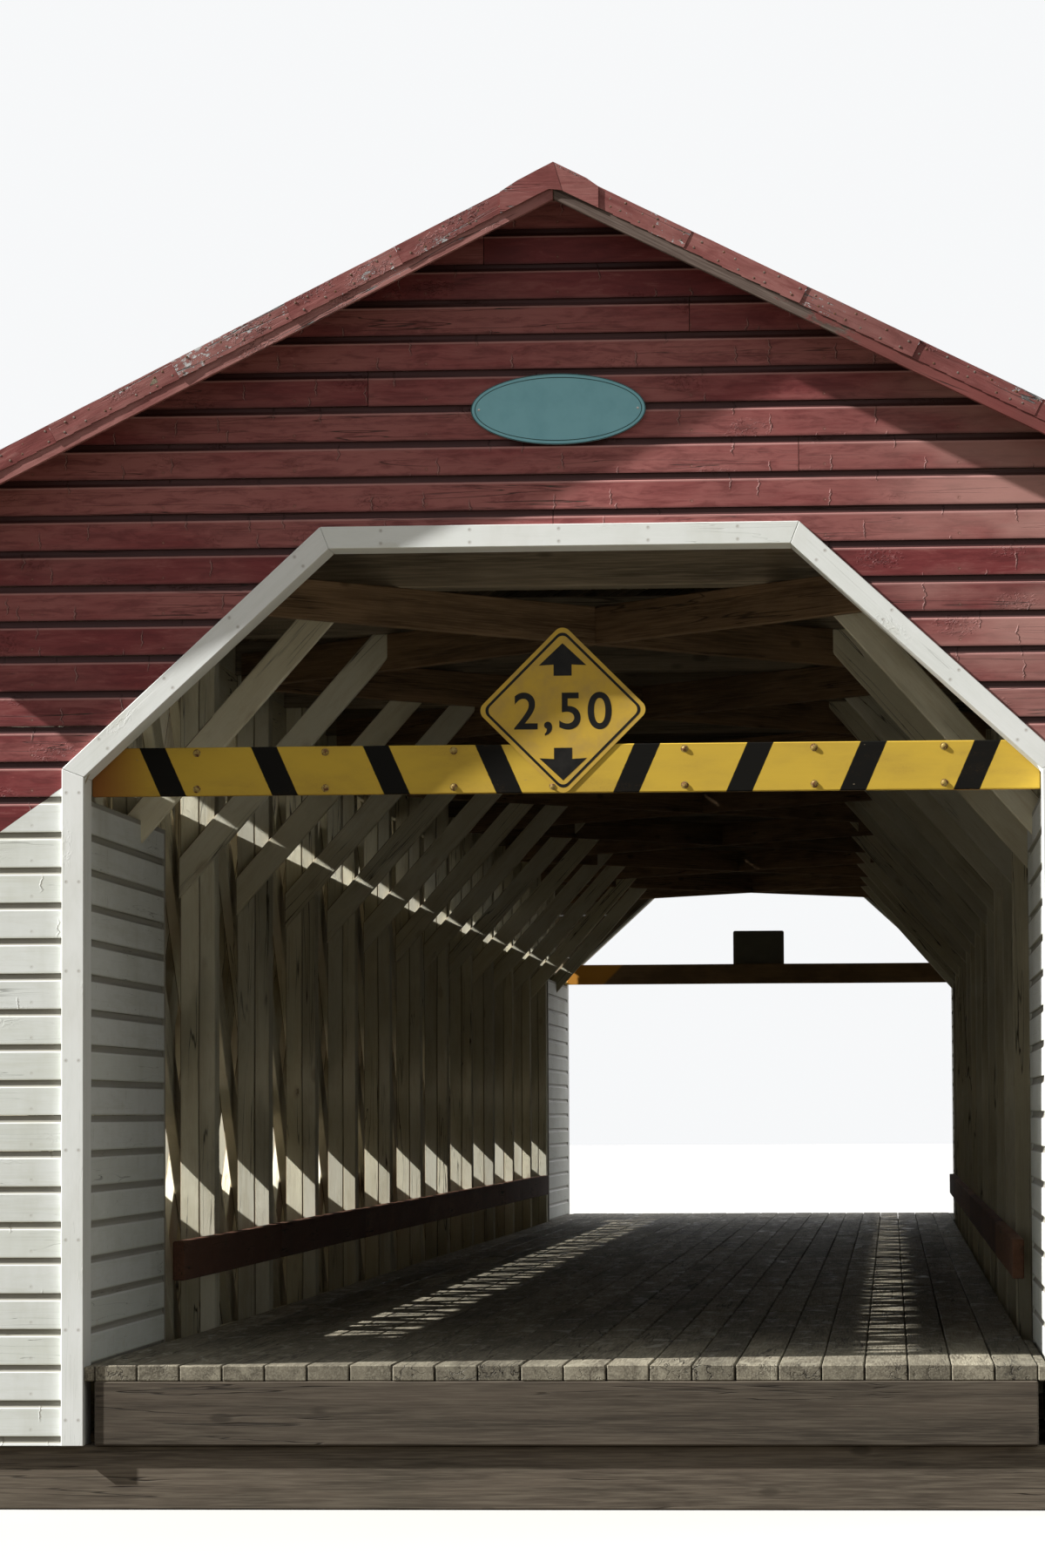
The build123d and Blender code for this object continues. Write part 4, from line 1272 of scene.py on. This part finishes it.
sign = {
    "side": 0.58, "radius": 0.045, "centre": 3.072, "thick": 0.006, "border": (0.019, 0.031), "proud": 0.0006,
    "arrowTip": 0.318, "arrowBase": 0.212, "arrowHalf": 0.113, "shaftHalf": 0.043, "shaftEnd": 0.163,
    "downShift": -0.016, "figure": "2,50", "figureSize": 0.245, "figureWeight": 0.003, "figureSpace": 1.14,
    "figureDrop": 0.018, "farSize": 0.594, "farCentre": 3.003, "farRoom": 0.8, "sheet": (0.58, 0.375, 0.05),
    "worn": (0.47, 0.31, 0.07), "nearBack": (0.05, 0.045, 0.035), "farBack": (0.13, 0.125, 0.1),
    "gloss": 0.45,
}
finishes["signBlack"] = dullFinish("signBlack", (0.01, 0.0095, 0.009), (0.02, 0.019, 0.017), 0.45)


def coatPlate(node, name, front, worn, back, facing, gloss):
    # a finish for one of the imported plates, which keeps its own mesh
    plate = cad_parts[node]
    plate.data.materials.clear()
    plate.data.materials.append(plateFinish(name, front, worn, back, facing, gloss))


for endName, name, back in (
    ("near", "signSheet", sign["nearBack"]), ("far", "farSignSheet", sign["farBack"]),
):
    coatPlate(f"{endName}_height_sign", name, sign["sheet"], sign["worn"], back, ends[endName], sign["gloss"])


def roundedSquare(half, radius, turned, steps=6):
    loop = []
    for quarter in range(4):
        for k in range(steps + 1):
            angle = math.radians(90 * (quarter + k / steps))
            cx = (half - radius) * (1 if quarter in (0, 3) else -1)
            cz = (half - radius) * (1 if quarter in (0, 1) else -1)
            loop.append((cx + radius * math.cos(angle), cz + radius * math.sin(angle)))
    c, s = math.cos(turned), math.sin(turned)
    return [(x * c - z * s, x * s + z * c) for x, z in loop]


def inlayHoop(lumber, outer, inner, y, centre, proud):
    # a thin raised line between two outlines on a face that looks along proud
    loops = [
        [at(x, place, centre + z) for x, z in loop]
        for loop, place in ((outer, y), (inner, y), (inner, y + proud), (outer, y + proud))
    ]
    lumber.hoop(loops, acrossX, upZ, at(0, y, centre))


def signMarks(name, end, half, radius, turned, centre, face, room):
    marks = Lumber(141 + end)
    proud = end * sign["proud"]
    outer = roundedSquare(half - sign["border"][0], radius - sign["border"][0] * 0.4, turned)
    inner = roundedSquare(half - sign["border"][1], radius - sign["border"][1] * 0.4, turned)
    inlayHoop(marks, outer, inner, face, centre, proud)
    for way, shift in ((1, 0.0), (-1, sign["downShift"])):
        outline = [
            (0, sign["arrowTip"]), (sign["arrowHalf"], sign["arrowBase"]),
            (sign["shaftHalf"], sign["arrowBase"] + 0.004),
            (sign["shaftHalf"], sign["shaftEnd"]), (-sign["shaftHalf"], sign["shaftEnd"]),
            (-sign["shaftHalf"], sign["arrowBase"] + 0.004),
            (-sign["arrowHalf"], sign["arrowBase"]),
        ]
        flat = [at(x * room, face, centre + way * z * room + shift) for x, z in outline]
        marks.slab(flat, Vector(), alongY * proud, acrossX, upZ)
    marks.piece(f"{name}_border_and_arrows", "signBlack", (), None, 0)
    text = bpy.data.curves.new(f"{name}_figures", "FONT")
    text.body, text.size, text.align_x, text.align_y = sign["figure"], sign["figureSize"], "CENTER", "CENTER"
    text.extrude, text.offset = sign["proud"] / 2, sign["figureWeight"]
    text.space_character = sign["figureSpace"]
    drawn = placed(f"{name}_drawn", text)
    bpy.context.view_layer.update()
    mesh = bpy.data.meshes.new_from_object(drawn.evaluated_get(bpy.context.evaluated_depsgraph_get()))
    bpy.data.objects.remove(drawn)
    figures = placed(f"{name}_figures", mesh)
    low = Vector([min(v.co[i] for v in mesh.vertices) for i in range(3)])
    high = Vector([max(v.co[i] for v in mesh.vertices) for i in range(3)])
    stand = Matrix.Rotation(math.radians(90), 4, "X")
    if end > 0:
        stand = Matrix.Rotation(math.pi, 4, "Z") @ stand
    mesh.transform(stand @ Matrix.Translation(-(low + high) / 2))
    mesh.transform(Matrix.Translation(at(0, face + proud / 2, centre - sign["figureDrop"])))
    mesh.materials.clear()
    mesh.materials.append(finishes["signBlack"])
    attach(figures, "root")


signFace = halfLength - clearance["depth"] + sign["thick"]
signMarks("near_sign", -1, sign["side"] / 2, sign["radius"], math.radians(45), sign["centre"], -signFace, 1.0)
signMarks(
    "far_sign", 1, sign["farSize"] / 2, sign["radius"] / 2, 0.0, sign["farCentre"], signFace, sign["farRoom"],
)

# oval plaque left bare: an outline and a thin inset line
plaque = {
    "wide": 0.824, "high": 0.336, "centre": 4.475, "thick": 0.012, "rim": 0.004, "line": (0.017, 0.021),
    "proud": 0.0006, "enamel": (0.28, 0.6, 0.69), "worn": (0.24, 0.54, 0.63), "back": (0.2, 0.2, 0.2),
    "gloss": 0.3, "screws": 0.375,
}
coatPlate(
    "oval_plaque", "plaqueEnamel", plaque["enamel"], plaque["worn"], plaque["back"], -1, plaque["gloss"],
)


def ellipse(inset, steps=72):
    turn = [2 * math.pi * i / steps for i in range(steps)]
    return [
        ((plaque["wide"] / 2 - inset) * math.cos(t), (plaque["high"] / 2 - inset) * math.sin(t)) for t in turn
    ]


lines = Lumber(151)
face = -(halfLength + plaque["thick"])
inlayHoop(lines, ellipse(0.0004), ellipse(plaque["rim"]), face, plaque["centre"], -plaque["proud"])
inlayHoop(
    lines, ellipse(plaque["line"][0]), ellipse(plaque["line"][1]), face, plaque["centre"], -plaque["proud"],
)
finishes["plaqueLine"] = dullFinish("plaqueLine", (0.03, 0.09, 0.1), (0.05, 0.12, 0.13), 0.35)
lines.piece("plaque_lines", "plaqueLine", (), None, 0)
screws = Lumber(152)
for x in (-plaque["screws"], plaque["screws"]):
    screws.stud(
        at(x, face, plaque["centre"]), -alongY, ((0.006, -0.001), (0.006, 0.0008), (0.0035, 0.0022)), 10,
    )
screws.piece("plaque_screws", "screwMetal", (), None, 0)
print("stage: beams, signs and plaque dressed")

# plain floor, soft light and the camera
studio = {
    "floor": 260.0, "floorTint": (0.56, 0.56, 0.55), "floorFleck": (0.45, 0.45, 0.44),
    "floorBounce": (0.12, 0.105, 0.082), "backdrop": (0.93, 0.94, 0.95), "fill": 0.12,
    "fillTint": (1.0, 0.975, 0.92), "keyTravel": (1.0, 0.258, -0.745), "keyStrength": 8.2, "keySoftness": 0.9,
    "keyTint": (1.0, 0.985, 0.95), "skyTint": (0.95, 0.98, 1.0), "frontTravel": (-0.3, 0.6, -0.74),
    "frontStrength": 0.35, "skyTravel": (0.75, 0.3, -0.59), "skyStrength": 0.6,
    "backTravel": (-0.45, -0.6, -0.66), "backStrength": 1.2, "soft": 60.0,
}
floorMesh = bpy.data.meshes.new("floor")
reach = studio["floor"]
floorMesh.from_pydata(
    [(-reach, -reach, 0), (reach, -reach, 0), (reach, reach, 0), (-reach, reach, 0)], [], [(0, 1, 2, 3)],
)
floor = placed("floor", floorMesh)
ground = Recipe("floorPaper")
speckle = ground.noise(ground.world(), 3.0, 3, 0.5)
seenDirectly = ground.node("LightPath", {}, {})
shownTint = ground.mix(speckle * 0.06, studio["floorTint"], studio["floorFleck"])
floorMesh.materials.append(ground.finish(ground.mix(seenDirectly, studio["floorBounce"], shownTint), 0.9))

air = Recipe("studio", bpy.data.worlds)
bpy.context.scene.world = air.owner
seen = air.node("LightPath", {}, {}, "Is Camera Ray")
seen = air.maths("MAXIMUM", seen, air.also(seen, "Is Glossy Ray"))
fillLight = air.node("Background", {}, {0: studio["fillTint"], 1: studio["fill"]})
shown = air.node("Background", {}, {0: studio["backdrop"], 1: 1.0})
air.node("OutputWorld", {}, {0: air.node("MixShader", {}, {0: seen, 1: fillLight, 2: shown})})


def lamp(name, travel, strength, softness, tint=(1.0, 1.0, 1.0)):
    light = bpy.data.lights.new(name, "SUN")
    light.energy, light.angle, light.color = strength, math.radians(softness), tint
    holder = placed(name, light)
    holder.rotation_mode = "QUATERNION"
    holder.rotation_quaternion = Vector(travel).to_track_quat("-Z", "Y")


lamp("key", studio["keyTravel"], studio["keyStrength"], studio["keySoftness"], studio["keyTint"])
lamp("front_fill", studio["frontTravel"], studio["frontStrength"], studio["soft"])
lamp("sky_fill", studio["skyTravel"], studio["skyStrength"], studio["soft"], studio["skyTint"])
lamp("back_fill", studio["backTravel"], studio["backStrength"], studio["soft"])

shot = {"place": (1.533, -42.187, 1.838), "yaw": 4.085, "pitch": 3.684, "roll": -0.259, "lens": 117.819}
cameraData = bpy.data.cameras.new("camera")
cameraData.lens, cameraData.sensor_width = shot["lens"], 36.0
cameraData.clip_end = 900.0
camera = placed("camera", cameraData)
yaw, pitch, roll = (math.radians(shot[key]) for key in ("yaw", "pitch", "roll"))
ahead = Vector((-math.sin(yaw) * math.cos(pitch), math.cos(yaw) * math.cos(pitch), math.sin(pitch)))
level = Vector((math.cos(yaw), math.sin(yaw), 0))
upward = level.cross(ahead)
rightward = level * math.cos(roll) + upward * math.sin(roll)
upward = upward * math.cos(roll) - level * math.sin(roll)
turned = Matrix((rightward, upward, -ahead)).transposed().to_4x4()
camera.matrix_world = Matrix.Translation(shot["place"]) @ turned
bpy.context.scene.camera = camera
bpy.context.scene.view_settings.view_transform = "Standard"

print("stage: scene ready")
